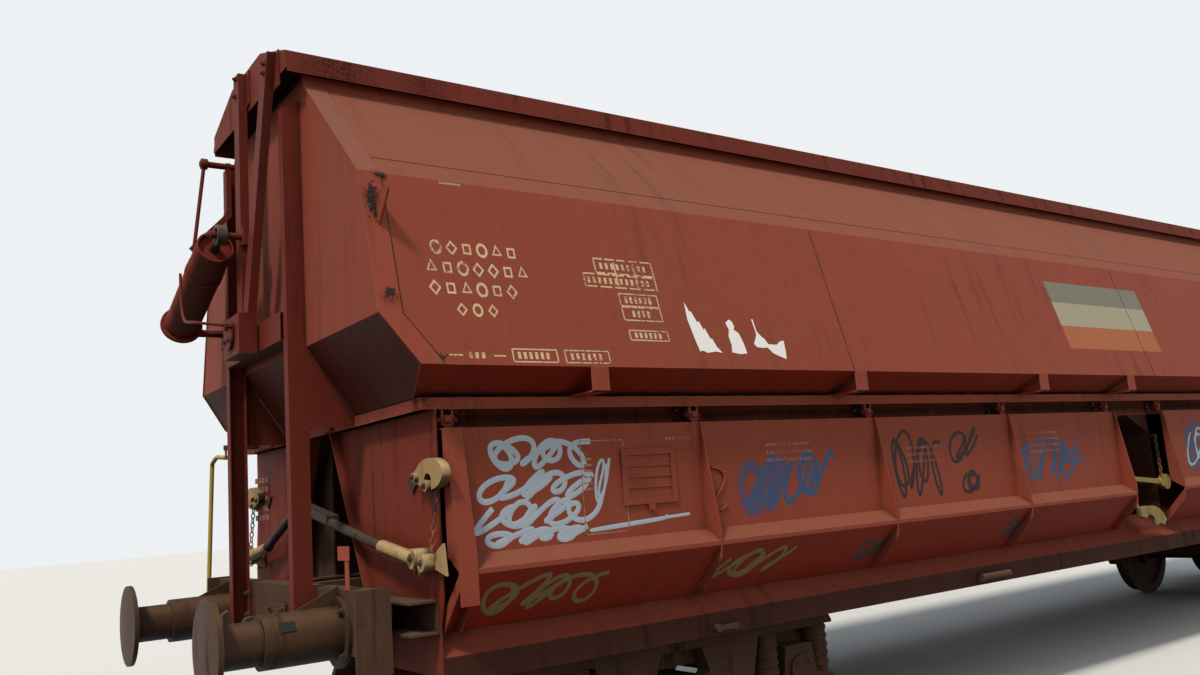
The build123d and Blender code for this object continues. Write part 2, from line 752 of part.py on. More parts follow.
def handrails():
    """Bent rails at two opposite corners, from the headstock's end up to the belt."""
    x = -HEADSTOCK_X
    line = FilletPolyline(
        (x, HEADSTOCK_Y + SEAT, 1114),
        (x, 1507, 1114),
        (x, 1372, 1990),
        (x, 1250, 2024),
        (x, HANDLE_IN_Y, HANDLE_TOP),
        radius=40,
    )
    rail = sweep((line ^ 0) * Circle(HANDLE_R), path=line)
    stay_z = BELT_TOP - BELT_H / 2
    stay_y = (HANDLE_IN_Y - SKIN, HANDLE_IN_Y + SKIN)
    stay = block(x - HANDLE_R, -BELT_X - 28 - SEAT, *stay_y, stay_z - 16, stay_z + 16)
    post = block(x - SKIN, x + SKIN, *stay_y, HANDLE_TOP, stay_z)
    one = rail + stay + post
    return one + Rot(0, 0, 180) * one


def label_box():
    """The framed label holder on the near flap's first bay at end a."""
    x0, x1 = -LABEL_X[1], -LABEL_X[0]
    face = -FLAP_Y - SEAT
    part = block(x0, x1, face - 12, face, LABEL_LOW, LABEL_TOP)
    inside = (x0 + LABEL_RIM, x1 - LABEL_RIM, LABEL_LOW + LABEL_RIM, LABEL_TOP - LABEL_RIM)
    part = part - block(inside[0], inside[1], face - 13, face - 4, inside[2], inside[3])
    bars = 4
    pitch = (inside[3] - inside[2]) / bars
    for index in range(1, bars):
        z = inside[2] + index * pitch
        part = part + block(inside[0], inside[1], face - 10, face - 4, z - 4, z + 4)
    latch = block((x0 + x1) / 2 - 20, (x0 + x1) / 2 + 20, face - 12, face, LABEL_LOW - 34, LABEL_LOW)
    return part + latch


def centre_gear():
    """Release gear in each mouth of the cross tunnel: bar, rollers, link and hook."""
    reach = TUNNEL_HALF - SEAT
    part = block(-reach, reach, CROSS_BAR_Y - 20, CROSS_BAR_Y + 20, ROLLER_Z - 20, ROLLER_Z + 20)
    rollers = (
        # x, y of the outer face, radius, thickness
        (-ROLLER_X, ROLLER_Y + 20, ROLLER_R, 40.0),
        (ROLLER_X, ROLLER_Y + 10, ROLLER_R, 40.0),
        (ROLLER_X - 105, ROLLER_Y + 30, 34.0, 60.0),
    )
    for x, outer, radius, thick in rollers:
        part = part + rod((x, outer, ROLLER_Z), (x, outer - thick, ROLLER_Z), radius)
        part = part + rod((x, CROSS_BAR_Y, ROLLER_Z), (x, outer - thick, ROLLER_Z), 22)
    link = [(-ROLLER_X, 1430), (-ROLLER_X, 1396), (ROLLER_X - 105, 1344), (ROLLER_X - 105, 1384)]
    part = part + along_y(link, ROLLER_Y - 8, ROLLER_Y + 12)
    arm = [(-ROLLER_X - 20, ROLLER_Z), (-ROLLER_X + 20, ROLLER_Z), (-180, 1140), (-220, 1140)]
    part = part + along_y(arm, ROLLER_Y - 18, ROLLER_Y - 2)
    hook = [
        (-222, 1108),
        (-222, 1162),
        (-148, 1184),
        (0, 1178),
        (78, 1150),
        (132, 1110),
        (176, 1056),
        (120, 1014),
        (60, 1034),
        (0, 1020),
        (-20, 1088),
        (-84, 1116),
        (-150, 1088),
    ]
    return both_sides(part + along_y(hook, ROLLER_Y - 18, ROLLER_Y + 18))


def brake_equipment():
    """Air reservoir and brake cylinder under the centre sill, pipe end and handle at each chute."""
    part = None
    vessels = (
        # ends along x, radius, how far in from its ends it is hung
        (TANK_X, TANK_R, 250.0),
        (BRAKE_X, BRAKE_R, 110.0),
    )
    for (x0, x1), radius, inset in vessels:
        z = HEADSTOCK_LOW - HANGER_DROP - radius
        vessel = rod((x0, 0, z), (x1, 0, z), radius)
        room = rod((x0, 0, z), (x1, 0, z), radius + SEAT)
        for x in (x0 + inset, x1 - inset):
            hanger = block(x - 30, x + 30, HANGER_Y, HANGER_Y + 2 * PLATE, z, HEADSTOCK_LOW - SEAT)
            vessel = vessel + both_sides(hanger - room)
        part = vessel if part is None else part + vessel
    push_z = HEADSTOCK_LOW - HANGER_DROP - BRAKE_R
    push = rod((BRAKE_X[1] + SEAT, 0, push_z), (BRAKE_X[1] + 420, 0, push_z), 30)
    apron = CHUTE_Y + SEAT
    pipe_y = apron + 32
    pipe_in, pipe_end = PIPE_X
    pipe = rod((pipe_in, pipe_y, PIPE_Z), (pipe_end, pipe_y, PIPE_Z), PIPE_R)
    pipe = pipe - rod((pipe_in + 150, pipe_y, PIPE_Z), (pipe_end + 1, pipe_y, PIPE_Z), PIPE_R - SKIN)
    for x in (pipe_in + 40, pipe_end - 80):
        pipe = pipe + block(x - 12, x + 12, apron, apron + 10, PIPE_Z - 22, PIPE_Z + 22)
    boss_x = HANDLE_X[0] + 16
    lever = rod((boss_x, apron, HANDLE_Z), (boss_x, apron + 34, HANDLE_Z), 20)
    lever = lever + block(*HANDLE_X, apron + 22, apron + 34, HANDLE_Z - 13, HANDLE_Z + 13)
    near = far_to_near(pipe) + far_to_near(lever)
    return part + push + near + Rot(0, 0, 180) * near


# Roof

def roof_line():
    return [
        (EAVE_Y + EAVE_STEP, LIP_DROP_Z),
        (EAVE_Y + EAVE_STEP, LIP_DROP_Z + 52),
        (EAVE_Y, LIP_DROP_Z + 58),
        (EAVE_Y, EAVE_Z),
        (CROWN_Y, CROWN_Z),
        (0, CROWN_Z),
    ]


def roof_z(y):
    """Height of the roof's upper face."""
    if abs(y) < CROWN_Y:
        return CROWN_Z
    return EAVE_Z + CROWN_RISE * (EAVE_Y - abs(y)) / (EAVE_Y - CROWN_Y)


def open_lip_z():
    """Height of the open roof's lowest edge, over the near side."""
    swing = radians(ROOF_SWING)
    return PIVOT_Z + (LIP_DROP_Z - PIVOT_Z) * cos(swing) - (EAVE_Y + EAVE_STEP) * sin(swing)


def roof_shell():
    """The swing roof: crown, slopes and eaves with their bows, and the end plates."""
    line = roof_line()
    full = line + [(-y, z) for y, z in line[-2::-1]]
    part = along_x(sheet(full, SKIN), -ROOF_X, ROOF_X)
    upper = line[3:] + [(-y, z) for y, z in line[-2:2:-1]]
    bow = sheet(offset_line(upper, SKIN), BOW_D)
    for x in BOW_XS:
        for place in {x, -x}:
            part = part + along_x(bow, place - SKIN / 2, place + SKIN / 2)
    crown_seam = block(-ROOF_X, ROOF_X, CROWN_Y - SEAT, CROWN_Y, EAVE_Z, CROWN_Z + 1)
    eave_seam = block(-ROOF_X, ROOF_X, 0, EAVE_Y + 1, EAVE_Z - BOW_D - SKIN, EAVE_Z - BOW_D - SKIN - SEAT)
    part = part - both_sides(crown_seam + eave_seam)
    end = [(y, max(z, ROOF_END_Z)) for y, z in full]
    plate = along_x(end, ROOF_X + SEAT, ROOF_X + SKIN)
    return part + both_ends(plate)


def roof_arms():
    """End a's hub and its two arms up to the roof."""
    back = -ARM_BACK
    front = -ARM_BACK - ARM_T
    hub_low = PIVOT_Z - HUB_H
    hub_top = PIVOT_Z + HUB_H
    hub = block(-SHELF_X - 8, -SHELF_X - 108, -HUB_HALF, HUB_HALF, hub_low, hub_top)
    part = hub
    roof_face = -ROOF_X - SKIN
    tops = (
        # y at the hub, y at the roof, half width of the head plate
        (0.0, 0.0, 85.0),
        (-95.0, -ARM_LEAN_Y, 75.0),
    )
    for foot_y, top_y, half in tops:
        top_z = roof_z(top_y) - HEAD_INSET
        run = hypot(top_y - foot_y, top_z - hub_top)
        lean = ARM_W / 2 * run / (top_z - hub_top)
        bar = [
            (foot_y - lean, hub_top - 20),
            (foot_y + lean, hub_top - 20),
            (top_y + lean, top_z),
            (top_y - lean, top_z),
        ]
        part = part + along_x(bar, front, back)
        head = block(roof_face - SEAT, back, top_y - half, top_y + half, top_z - HEAD_DEEP, top_z + 10)
        part = part + head
    bore = rod((-SHELF_X, 0, PIVOT_Z), (-SHELF_X - 140, 0, PIVOT_Z), ROOF_PIN_R + PIN_PLAY)
    pin = rod((back, EYE_Y, EYE_Z), (-CYL_X - 50, EYE_Y, EYE_Z), 20)
    lug = block(front, back, EYE_Y - 45, 0, EYE_Z - 50, EYE_Z + 50)
    return part - bore + pin + lug


def cylinder_axes():
    """Length and tilt of the line from the barrel's pin to the rod's eye."""
    dy = EYE_Y - CYL_PIN_Y
    dz = EYE_Z - CYL_PIN_Z
    return hypot(dy, dz), degrees(atan2(dz, -dy))


def on_cylinder_line(part, end):
    """Turn a part drawn along +Z from the barrel's pin into its place."""
    length, tilt = cylinder_axes()
    return Pos(end * CYL_X, CYL_PIN_Y, CYL_PIN_Z) * Rot(90 - tilt, 0, 0) * part


def roof_cylinder(end_side):
    length, tilt = cylinder_axes()
    start = 80.0
    end = length - 110.0
    wall = 10.0
    tube = Pos(0, 0, (start + end) / 2) * Cylinder(CYL_R, end - start)
    room = Pos(0, 0, (start + 20 + end) / 2 + 10) * Cylinder(CYL_R - wall, end - start)
    head = Pos(0, 0, end - 45) * Cylinder(CYL_R - wall, 30)
    hole = Pos(0, 0, end - 45) * Cylinder(ROD_R + PIN_PLAY, 40)
    ring = Pos(0, 0, start + 12) * Cylinder(CYL_R + 22, 24)
    tongue = Pos(0, 0, start / 2) * Box(56, 80, start)
    eye = Rot(0, 90, 0) * Cylinder(40, 56)
    bore = Rot(0, 90, 0) * Cylinder(24 + PIN_PLAY, 70)
    part = tube - room + head + ring + tongue + eye
    return on_cylinder_line(part - hole - bore, end_side)


def roof_rod(end_side):
    length, tilt = cylinder_axes()
    inner = length - 110.0 - STROKE - 120.0
    bar = Pos(0, 0, (inner + length - 40) / 2) * Cylinder(ROD_R, length - 40 - inner)
    piston = Pos(0, 0, inner) * Cylinder(CYL_R - 10 - PIN_PLAY, 40)
    eye = Pos(0, 0, length) * Rot(0, 90, 0) * Cylinder(58, 50)
    bore = Pos(0, 0, length) * Rot(0, 90, 0) * Cylinder(42, 60)
    return on_cylinder_line(bar + piston + eye - bore, end_side)


# Bogies and wheels

def wheelset():
    """One axle and the two wheels pressed on it, on the Y axis."""
    back = WHEEL_BACK
    front = WHEEL_BACK + WHEEL_WIDTH
    hub_in = back - 40
    hub_out = front + 10
    collar_end = front + 70
    axle_end = JOURNAL_Y + BOX_WIDTH / 2 - 20
    half_axle = [
        (0, 0),
        (AXLE_R, 0),
        (AXLE_R, hub_in - 10),
        (WHEEL_SEAT_R, hub_in - 10),
        (WHEEL_SEAT_R, hub_out + 10),
        (COLLAR_R, hub_out + 10),
        (COLLAR_R, collar_end),
        (JOURNAL_R, collar_end),
        (JOURNAL_R, axle_end),
        (0, axle_end),
    ]
    profile = half_axle + [(r, -y) for r, y in half_axle[-1:0:-1]]
    axle = revolve(make_face(Polyline(*profile, close=True)), axis=Axis.Y)
    rim = WHEEL_R - 65
    bore = WHEEL_SEAT_R + SEAT
    section = [
        (bore, hub_in),
        (HUB_R, hub_in),
        (HUB_R, back + 32),
        (rim, back + 32),
        (rim, back),
        (WHEEL_R + FLANGE, back),
        (WHEEL_R + FLANGE, back + 18),
        (WHEEL_R, back + 42),
        (WHEEL_R - 5, front),
        (rim, front),
        (rim, back + 62),
        (HUB_R, back + 62),
        (HUB_R, hub_out),
        (bore, hub_out),
    ]
    wheel = revolve(make_face(Polyline(*section, close=True)), axis=Axis.Y)
    return Pos(0, 0, WHEEL_R) * (axle + both_sides(wheel))


def axle_boxes():
    """A bogie's four axle boxes with the springs on their wings."""
    half_w = BOX_WIDTH / 2
    wing = BOX_HALF + 2 * SPRING_R + 10
    low = WHEEL_R - 90
    body = [
        (-BOX_HALF, low),
        (-wing, low),
        (-wing, low + 30),
        (-BOX_HALF, low + 60),
        (-BOX_HALF + 30, WHEEL_R + 150),
        (BOX_HALF - 30, WHEEL_R + 150),
        (BOX_HALF, low + 60),
        (wing, low + 30),
        (wing, low),
        (BOX_HALF, low),
        (BOX_HALF - 40, WHEEL_R - 150),
        (-BOX_HALF + 40, WHEEL_R - 150),
    ]
    box = along_y(body, JOURNAL_Y - half_w, JOURNAL_Y + half_w)
    cover = rod((0, JOURNAL_Y + half_w, WHEEL_R), (0, JOURNAL_Y + half_w + 25, WHEEL_R), 95)
    bore_end = JOURNAL_Y + half_w - 10
    bore = rod((0, JOURNAL_Y - half_w - 1, WHEEL_R), (0, bore_end, WHEEL_R), JOURNAL_R + PIN_PLAY)
    part = box + cover - bore
    spring_z = low + 45
    spring_top = BOGIE_TOP - 150 - SEAT
    for side in (-1, 1):
        x = side * (BOX_HALF + SPRING_R + 4)
        spring = Pos(x, JOURNAL_Y, (spring_z + spring_top) / 2) * Cylinder(SPRING_R, spring_top - spring_z)
        part = part + spring
    pair = Pos(-WHEELBASE / 2, 0, 0) * part + Pos(WHEELBASE / 2, 0, 0) * part
    return both_sides(pair)


def bogie_frame():
    """Two side frames, a bolster with its bowl, and the cross bars."""
    inner = JOURNAL_Y - SIDE_FRAME_W / 2
    outer = JOURNAL_Y + SIDE_FRAME_W / 2
    end = WHEELBASE / 2 + 330
    under = BOGIE_TOP - 150
    leg = WHEELBASE / 2 - 330
    outline = [
        (-end, under + 15),
        (-end + 60, BOGIE_TOP - 30),
        (-leg, BOGIE_TOP),
        (leg, BOGIE_TOP),
        (end - 60, BOGIE_TOP - 30),
        (end, under + 15),
        (end, under),
        (leg + 20, under),
        (leg - 40, 480),
        (leg - 150, 420),
        (-leg + 150, 420),
        (-leg + 40, 480),
        (-leg - 20, under),
        (-end, under),
    ]
    side = along_y(outline, inner, outer)
    window = [(-200, 560), (-150, 700), (150, 700), (200, 560), (150, 520), (-150, 520)]
    side = side - along_y(window, inner - 1, outer + 1)
    part = both_sides(side)
    bolster = block(-180, 180, -inner, inner, 600, BOGIE_TOP - 60)
    bowl_z = (BOGIE_TOP - 60 + BOGIE_TOP) / 2
    bowl = Pos(0, 0, bowl_z) * Cylinder(PIVOT_R + 30, 60)
    return part + bolster + bowl + brake_shoes()


def brake_shoes():
    """Shoes on the inner side of each wheel, their hangers and beams."""
    axle_x = WHEELBASE / 2
    inner_r = WHEEL_R + SHOE_GAP
    middle = (SHOE_IN_Y + SHOE_OUT_Y) / 2
    wheel = Pos(axle_x, middle, WHEEL_R) * Rot(90, 0, 0)
    ring = wheel * (Cylinder(inner_r + SHOE_T, SHOE_OUT_Y - SHOE_IN_Y) - Cylinder(inner_r, BOX_WIDTH))
    back_x = axle_x - inner_r - SHOE_T
    low = WHEEL_R - SHOE_HALF
    top = WHEEL_R + SHOE_HALF
    shoe = ring & block(back_x, axle_x - inner_r + 20, SHOE_IN_Y, SHOE_OUT_Y, low, top)
    hang_x = back_x + 8
    hanger = block(hang_x, hang_x + 40, SHOE_IN_Y, SHOE_OUT_Y, top - 20, BOGIE_TOP - 70)
    side_in = JOURNAL_Y - SIDE_FRAME_W / 2
    arm = block(hang_x, hang_x + 40, SHOE_OUT_Y - 10, side_in + 10, BOGIE_TOP - 110, BOGIE_TOP - 70)
    beam_x = axle_x - WHEEL_R - FLANGE - SHOE_GAP - BEAM_R
    beam = rod((beam_x, 0, WHEEL_R), (beam_x, SHOE_OUT_Y - 5, WHEEL_R), BEAM_R)
    return both_sides(both_ends(shoe + hanger + arm + beam))


def at_bogie(part, end):
    return Pos(end * PIVOT_X, 0, 0) * part


def main():
    os.makedirs("parts", exist_ok=True)
    far = side_sheet()
    save("side_sheet_far", far)
    save("side_sheet_near", far_to_near(far) + roof_stops())
    wall = end_wall()
    save("end_wall_a", wall)
    save("end_wall_b", a_to_b(wall))
    save("belt_ring", belt_ring())
    save("saddle_floor", saddle_floor())
    save("cross_tunnel", cross_tunnel())
    plates = lower_end()
    save("lower_end_a", plates)
    save("lower_end_b", a_to_b(plates))
    leaf = flap()
    save("flap_far_b", leaf)
    save("flap_far_a", a_to_b(leaf))
    save("flap_near_b", far_to_near(leaf))
    save("flap_near_a", far_to_near(a_to_b(leaf)))
    save("centre_sill", centre_sill())
    save("cross_frames", cross_frames())
    pieces = (
        # node, piece at end a
        ("headstock", headstock()),
        ("end_posts", end_posts()),
        ("buffers", buffers()),
        ("draw_gear", draw_gear()),
        ("roof_arms", roof_arms()),
        ("lock_gear", lock_gear()),
    )
    for name, piece in pieces:
        save(f"{name}_a", piece)
        save(f"{name}_b", a_to_b(piece))
    save("roof_shell", roof_shell())
    save("roof_locks", roof_locks())
    save("handrails", handrails())
    save("label_box", label_box())
    save("centre_gear", centre_gear())
    save("brake_equipment", brake_equipment())
    boxes = axle_boxes()
    frame = bogie_frame()
    for letter, end in (("a", -1), ("b", 1)):
        save(f"bogie_frame_{letter}", at_bogie(frame, end))
        save(f"axle_boxes_{letter}", at_bogie(boxes, end))
        save(f"roof_cylinder_{letter}", roof_cylinder(end))
        save(f"roof_rod_{letter}", roof_rod(end))
    axle = wheelset()
    places = [end * PIVOT_X + side * WHEELBASE / 2 for end in (-1, 1) for side in (-1, 1)]
    for number, x in enumerate(places, start=1):
        save(f"wheelset_{number}", Pos(x, 0, 0) * axle)


main()
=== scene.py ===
"""Finish of a self-discharging hopper wagon: weathered paint, gear, grime and light."""
import json
import math
import random
from functools import partial

import bmesh
import bpy
from mathutils import Matrix, Vector, noise


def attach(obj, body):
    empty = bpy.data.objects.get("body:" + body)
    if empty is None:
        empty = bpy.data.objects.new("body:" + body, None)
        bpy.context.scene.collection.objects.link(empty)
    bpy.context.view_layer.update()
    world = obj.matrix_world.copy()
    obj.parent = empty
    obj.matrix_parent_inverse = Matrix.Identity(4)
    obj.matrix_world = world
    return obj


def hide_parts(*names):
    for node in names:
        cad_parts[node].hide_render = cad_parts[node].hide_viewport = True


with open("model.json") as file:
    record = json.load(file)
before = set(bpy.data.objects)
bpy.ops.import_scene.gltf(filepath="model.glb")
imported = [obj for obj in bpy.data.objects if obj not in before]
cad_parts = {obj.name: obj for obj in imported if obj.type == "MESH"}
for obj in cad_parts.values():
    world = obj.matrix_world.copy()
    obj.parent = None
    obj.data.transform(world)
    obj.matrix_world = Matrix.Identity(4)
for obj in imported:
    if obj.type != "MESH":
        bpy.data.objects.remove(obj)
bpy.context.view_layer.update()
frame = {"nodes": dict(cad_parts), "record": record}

bl_info = {
    "name": "Hopper wagon finish",
    "version": (1, 0, 0),
    "blender": (4, 5, 0),
    "location": "3D View > Sidebar > Hopper wagon",
    "description": "Dresses the hopper wagon with paint, rust, fittings, floor and light",
    "category": "Add Mesh",
}

BODIES = {node: body for body, nodes in frame["record"]["behaviour"]["bodies"].items() for node in nodes}
SLOTS = {part["node"]: part["material_slot"] for part in frame["record"]["subparts"]}
ENDS = (("a", -1), ("b", 1))
SIDES = (("near", -1), ("far", 1))
QUARTER = math.pi / 2

# Heights below are taken from the rail top, which lies this far above the floor
RAIL = 0.028
# The upper body's outline, as (distance from the middle, height)
SHOULDER = (1.33, 3.17)
BELLY = (1.58, 2.22)
RIM_FOLD = (0.65, 3.85)
BELLY_FOOT = 1.30
# The flaps' upright face, the foot and lip of the shut plate below it, and the hinges' pin
FLAP_Y = 1.40
FLAP_FOOT = (1.246, 1.02)
FLAP_LIP = (1.50, 1.285)
PIN = (1.352, 1.992)
HINGES = [side * x for side in (-1, 1) for x in (0.428, 1.8545, 3.315, 4.7755, 6.284)]
BELT_TOP = 2.095
BELT_Y = 1.378
# Distances along the wagon: the side's edge strips, the headstock's face, a bogie's pivot, its axles
STRIP_X = 6.555
HEADSTOCK_X = 6.6703
BOGIE_X = 4.75
AXLES = (-0.9, 0.9)


# Colour and node helpers

def linear(hex_colour):
    """The linear colour of an sRGB hex value."""
    channels = [int(hex_colour[place:place + 2], 16) / 255 for place in (1, 3, 5)]
    return [c / 12.92 if c <= 0.04045 else ((c + 0.055) / 1.055) ** 2.4 for c in channels] + [1.0]


# Short names for settings that come up often; Open sums aren't clamped to 0 and 1
SHORT = {
    # short name: node, settings
    "Plus": ("Math", {"operation": "ADD", "use_clamp": True}),
    "Times": ("Math", {"operation": "MULTIPLY", "use_clamp": True}),
    "OpenPlus": ("Math", {"operation": "ADD"}),
    "OpenTimes": ("Math", {"operation": "MULTIPLY"}),
    "Minus": ("Math", {"operation": "SUBTRACT"}),
    "Absolute": ("Math", {"operation": "ABSOLUTE"}),
    "Length": ("VectorMath", {"operation": "LENGTH"}),
    "Distance": ("VectorMath", {"operation": "DISTANCE"}),
    "Dot": ("VectorMath", {"operation": "DOT_PRODUCT"}),
    "Blend": ("Mix", {"data_type": "RGBA"}),
    "Ramp": ("MapRange", {"interpolation_type": "SMOOTHSTEP"}),
}


def add(tree, kind, *feeds, **named):
    """Add a node and give it back.

    The feeds, values or sockets or nodes, go to its open sockets in order. A capitalised name is a
    socket and any other name a setting.
    """
    kind, settings = SHORT.get(kind, (kind, {}))
    node = tree.nodes.new("ShaderNode" + kind)
    for name, value in (*settings.items(), *named.items()):
        if name[0].islower():
            setattr(node, name, value)
    pairs = list(zip([socket for socket in node.inputs if socket.enabled], feeds))
    pairs += [(node.inputs[name.replace("_", " ")], named[name]) for name in named if name[0].isupper()]
    for socket, feed in pairs:
        if isinstance(feed, bpy.types.Node):
            feed = next(output for output in feed.outputs if output.enabled)
        if isinstance(feed, bpy.types.NodeSocket):
            tree.links.new(feed, socket)
        else:
            socket.default_value = feed
    return node


def open_tree(data):
    """Clear the nodes of a material or world, and give the function that adds to them."""
    data.use_nodes = True
    data.node_tree.nodes.clear()
    return partial(add, data.node_tree)


def close_tree(node, relief, strength, depth, **sockets):
    """End a material in one shader over a relief of a strength and a depth."""
    bump = node("Bump", Height=relief, Strength=strength, Distance=depth)
    node("OutputMaterial", node("BsdfPrincipled", Normal=bump, **sockets))


def near_line(node, spot, line, reach):
    """1 on a line along the wagon, given by its distance from the middle and height, 0 at its reach."""
    across = node("Minus", node("Absolute", spot.outputs["Y"]), line[0])
    above = node("Minus", spot.outputs["Z"], line[1] + RAIL)
    return node("Ramp", node("Length", node("CombineXYZ", across, above)), reach, 0.0)


def seen_directly(node):
    """1 where the camera, a gloss or a clear sheet sees a thing, 0 for the light that it sends on."""
    path = node("LightPath").outputs
    seen = node("Plus", path["Is Camera Ray"], path["Is Glossy Ray"])
    return node("Plus", seen, path["Is Transmission Ray"])


# Materials; a noise takes where it is read, 1 / its lumps' size in metres, detail and roughness

def weathered(material, tones, grime=0.5, rusting=0.5, rough=0.6, chalk=0.8, shine=0.15, patch=1.0,
              dirt_lines=(), spots=()):
    """Old enamel on rolled steel: chalky where it faces up, streaked by rain, with painted shade where it
    faces down and soot with painted shade in its corners.

    The tones are base, chalked, shaded (painted shade where it faces down), soot (also the painted shade in
    corners and recesses), rust and worn edge. Grime sets the soot and part of the painted corner shade.
    """
    base, chalked, shaded, soot, rust, edge = tones
    node = open_tree(material)
    place = node("TexCoord")
    where = place.outputs["Object"]
    spot = node("SeparateXYZ", where)
    facing = node("SeparateXYZ", place.outputs["Normal"])
    upward = facing.outputs["Z"]
    # Rain streaks 90 mm apart and over a metre long, along X on a side and along Y on an end
    end_on = node("Absolute", facing.outputs["X"], use_clamp=True)
    across = node("Mix", node("Ramp", end_on, 0.6, 0.8), spot.outputs["X"], spot.outputs["Y"])
    run = node("CombineXYZ", across, node("OpenTimes", spot.outputs["Z"], 0.07))
    streak = node("TexNoise", run, 1 / 0.09, 5.0, 0.6)
    # Sprayed patches of a metre and blotches of 120 mm, smaller on small parts, pits of 14 mm, grit of 3 mm
    clouds = node("TexNoise", where, 1 / (1.1 * patch), 4.0, 0.6)
    blotch = node("TexNoise", where, 1 / (0.12 * patch), 6.0, 0.68)
    pits = node("TexNoise", where, 1 / 0.014, 3.0, 0.7)
    grit = node("TexNoise", where, 1 / 0.003, 2.0, 0.6)
    # Painted shade: a deeper tone on what faces down; chalk on what faces up and in clouds
    colour = node("Blend", node("Ramp", node("Times", upward, -1.0), 0.15, 0.6), base, shaded)
    worn = node("Times", node("Ramp", clouds, 0.4, 0.66), 0.22)
    worn = node("Plus", worn, node("Times", node("Ramp", upward, 0.3, 0.75), chalk))
    colour = node("Blend", worn, colour, chalked)
    # Soot in streaks and blotches, and on the flats
    runs = node("Times", node("Ramp", streak, 0.5, 0.7), node("Ramp", clouds, 0.35, 0.7))
    patches = node("Times", node("Ramp", blotch, 0.5, 0.8), 0.45)
    dirt_and_shade = node("Times", node("Plus", runs, patches), grime)
    dirt_and_shade = node("Plus", dirt_and_shade, node("Times", node("Ramp", upward, 0.85, 0.97), 0.25))
    # Soot and painted shade in corners and recesses, 90 mm wide, from ambient occlusion
    corner_soot_and_shade = node("AmbientOcclusion", Distance=0.09, samples=4)
    corner_soot_and_shade = node("Times", node("Ramp", corner_soot_and_shade.outputs["AO"], 0.72, 0.25), node("Ramp", blotch, 0.25, 0.6))
    dirt_and_shade = node("Plus", dirt_and_shade, node("Times", corner_soot_and_shade, min(1.0, 0.35 + grime)))
    # Soot and painted shade along the recesses behind the belt and flaps
    for line, reach, strength in dirt_lines:
        crust = node("Times", near_line(node, spot, line, reach), node("Ramp", blotch, 0.12, 0.42))
        dirt_and_shade = node("Plus", dirt_and_shade, node("Times", crust, strength))
    for centre, reach, strength in spots:
        near = node("Ramp", node("Distance", where, centre), reach, 0.0)
        crust = node("Times", near, node("Ramp", pits, 0.35, 0.6))
        dirt_and_shade = node("Plus", dirt_and_shade, node("Times", crust, strength))
    # The soot tone laid over real dirt and over painted shade
    colour = node("Blend", dirt_and_shade, colour, soot)
    # Rust comes through in pits
    rusted = node("Times", node("Ramp", pits, 0.64, 0.74), node("Ramp", blotch, 0.48, 0.62))
    rusted = node("Times", rusted, rusting)
    colour = node("Blend", rusted, colour, rust)
    # Edges worn bright, 5 mm wide
    same = node("Dot", node("Bevel", 0.005, samples=3), node("NewGeometry").outputs["Normal"])
    rubbed = node("Times", node("Ramp", same, 0.985, 0.86), node("Ramp", blotch, 0.3, 0.55))
    colour = node("Blend", node("Times", rubbed, 0.6), colour, edge)
    # Duller by as much as 0.3 where it is worn, rusted, dirty and painted in shade, and relief of 1.5 mm
    dull = node("Plus", worn, node("Plus", rusted, dirt_and_shade))
    dull = node("Plus", dull, node("Times", grit, 0.2))
    gloss = node("MapRange", dull, To_Min=rough, To_Max=min(1.0, rough + 0.3))
    relief = node("OpenPlus", node("OpenTimes", blotch, 1.5), node("OpenPlus", pits, rusted))
    close_tree(node, relief, 0.3, 0.0015, Base_Color=colour, Roughness=gloss, Specular_IOR_Level=shine)


def brushed_on(material, tones, wear=0.5, rough=0.6, lump=0.03):
    """Thin paint or film worn off in flakes, so that what is below shows.

    The tones are the paint's and the one below it.
    """
    paint, below = tones
    node = open_tree(material)
    where = node("TexCoord").outputs["Object"]
    flakes = node("TexNoise", where, 1 / lump, 6.0, 0.75)
    clouds = node("TexNoise", where, 1 / 0.3, 3.0, 0.5)
    fine = node("TexNoise", where, 1 / 0.006, 3.0, 0.7)
    gone = node("OpenPlus", flakes, node("OpenTimes", node("Minus", clouds, 0.5), 0.5))
    gone = node("Ramp", gone, 0.80 - 0.36 * wear, 0.86 - 0.30 * wear)
    dusty = node("Blend", node("Times", fine, 0.2), paint, below)
    close_tree(node, flakes, 0.1, 0.0003, Base_Color=node("Blend", gone, dusty, below), Roughness=rough,
               Specular_IOR_Level=0.2)


def chain_steel(material, tones, turn_z):
    """Forged chain: greasy above a height, bright flaking rust below it, in lumps of 10 mm."""
    upper, lower = tones
    node = open_tree(material)
    where = node("TexCoord").outputs["Object"]
    lumps = node("TexNoise", where, 1 / 0.01, 4.0, 0.7)
    level = node("OpenPlus", node("SeparateXYZ", where).outputs["Z"], node("OpenTimes", lumps, 0.1))
    high = node("Ramp", level, turn_z + RAIL, turn_z + RAIL + 0.1)
    colour = node("Blend", high, lower, upper)
    close_tree(node, lumps, 0.5, 0.001, Base_Color=colour, Roughness=0.7, Metallic=0.2)


def caked(material, tones, rough=0.95):
    """Moss, grease and coal dust caked in corners, in grains of 6 mm.

    The tones are the grains' and the one between them.
    """
    light, dark = tones
    node = open_tree(material)
    grains = node("TexNoise", node("TexCoord").outputs["Object"], 1 / 0.006, 3.0, 0.8)
    colour = node("Blend", node("Ramp", grains, 0.5, 0.75), dark, light)
    close_tree(node, grains, 0.8, 0.002, Base_Color=colour, Roughness=rough)


# Soot and painted shade in the recess on both sides of the joint between belly, belt and flaps: (distance
# from the middle, height), reach, strength
LEDGES = (
    ((1.31, 2.10), 0.055, 1.0),
    ((1.31, 2.02), 0.06, 0.9),
    ((1.31, 1.97), 0.08, 1.0),
)
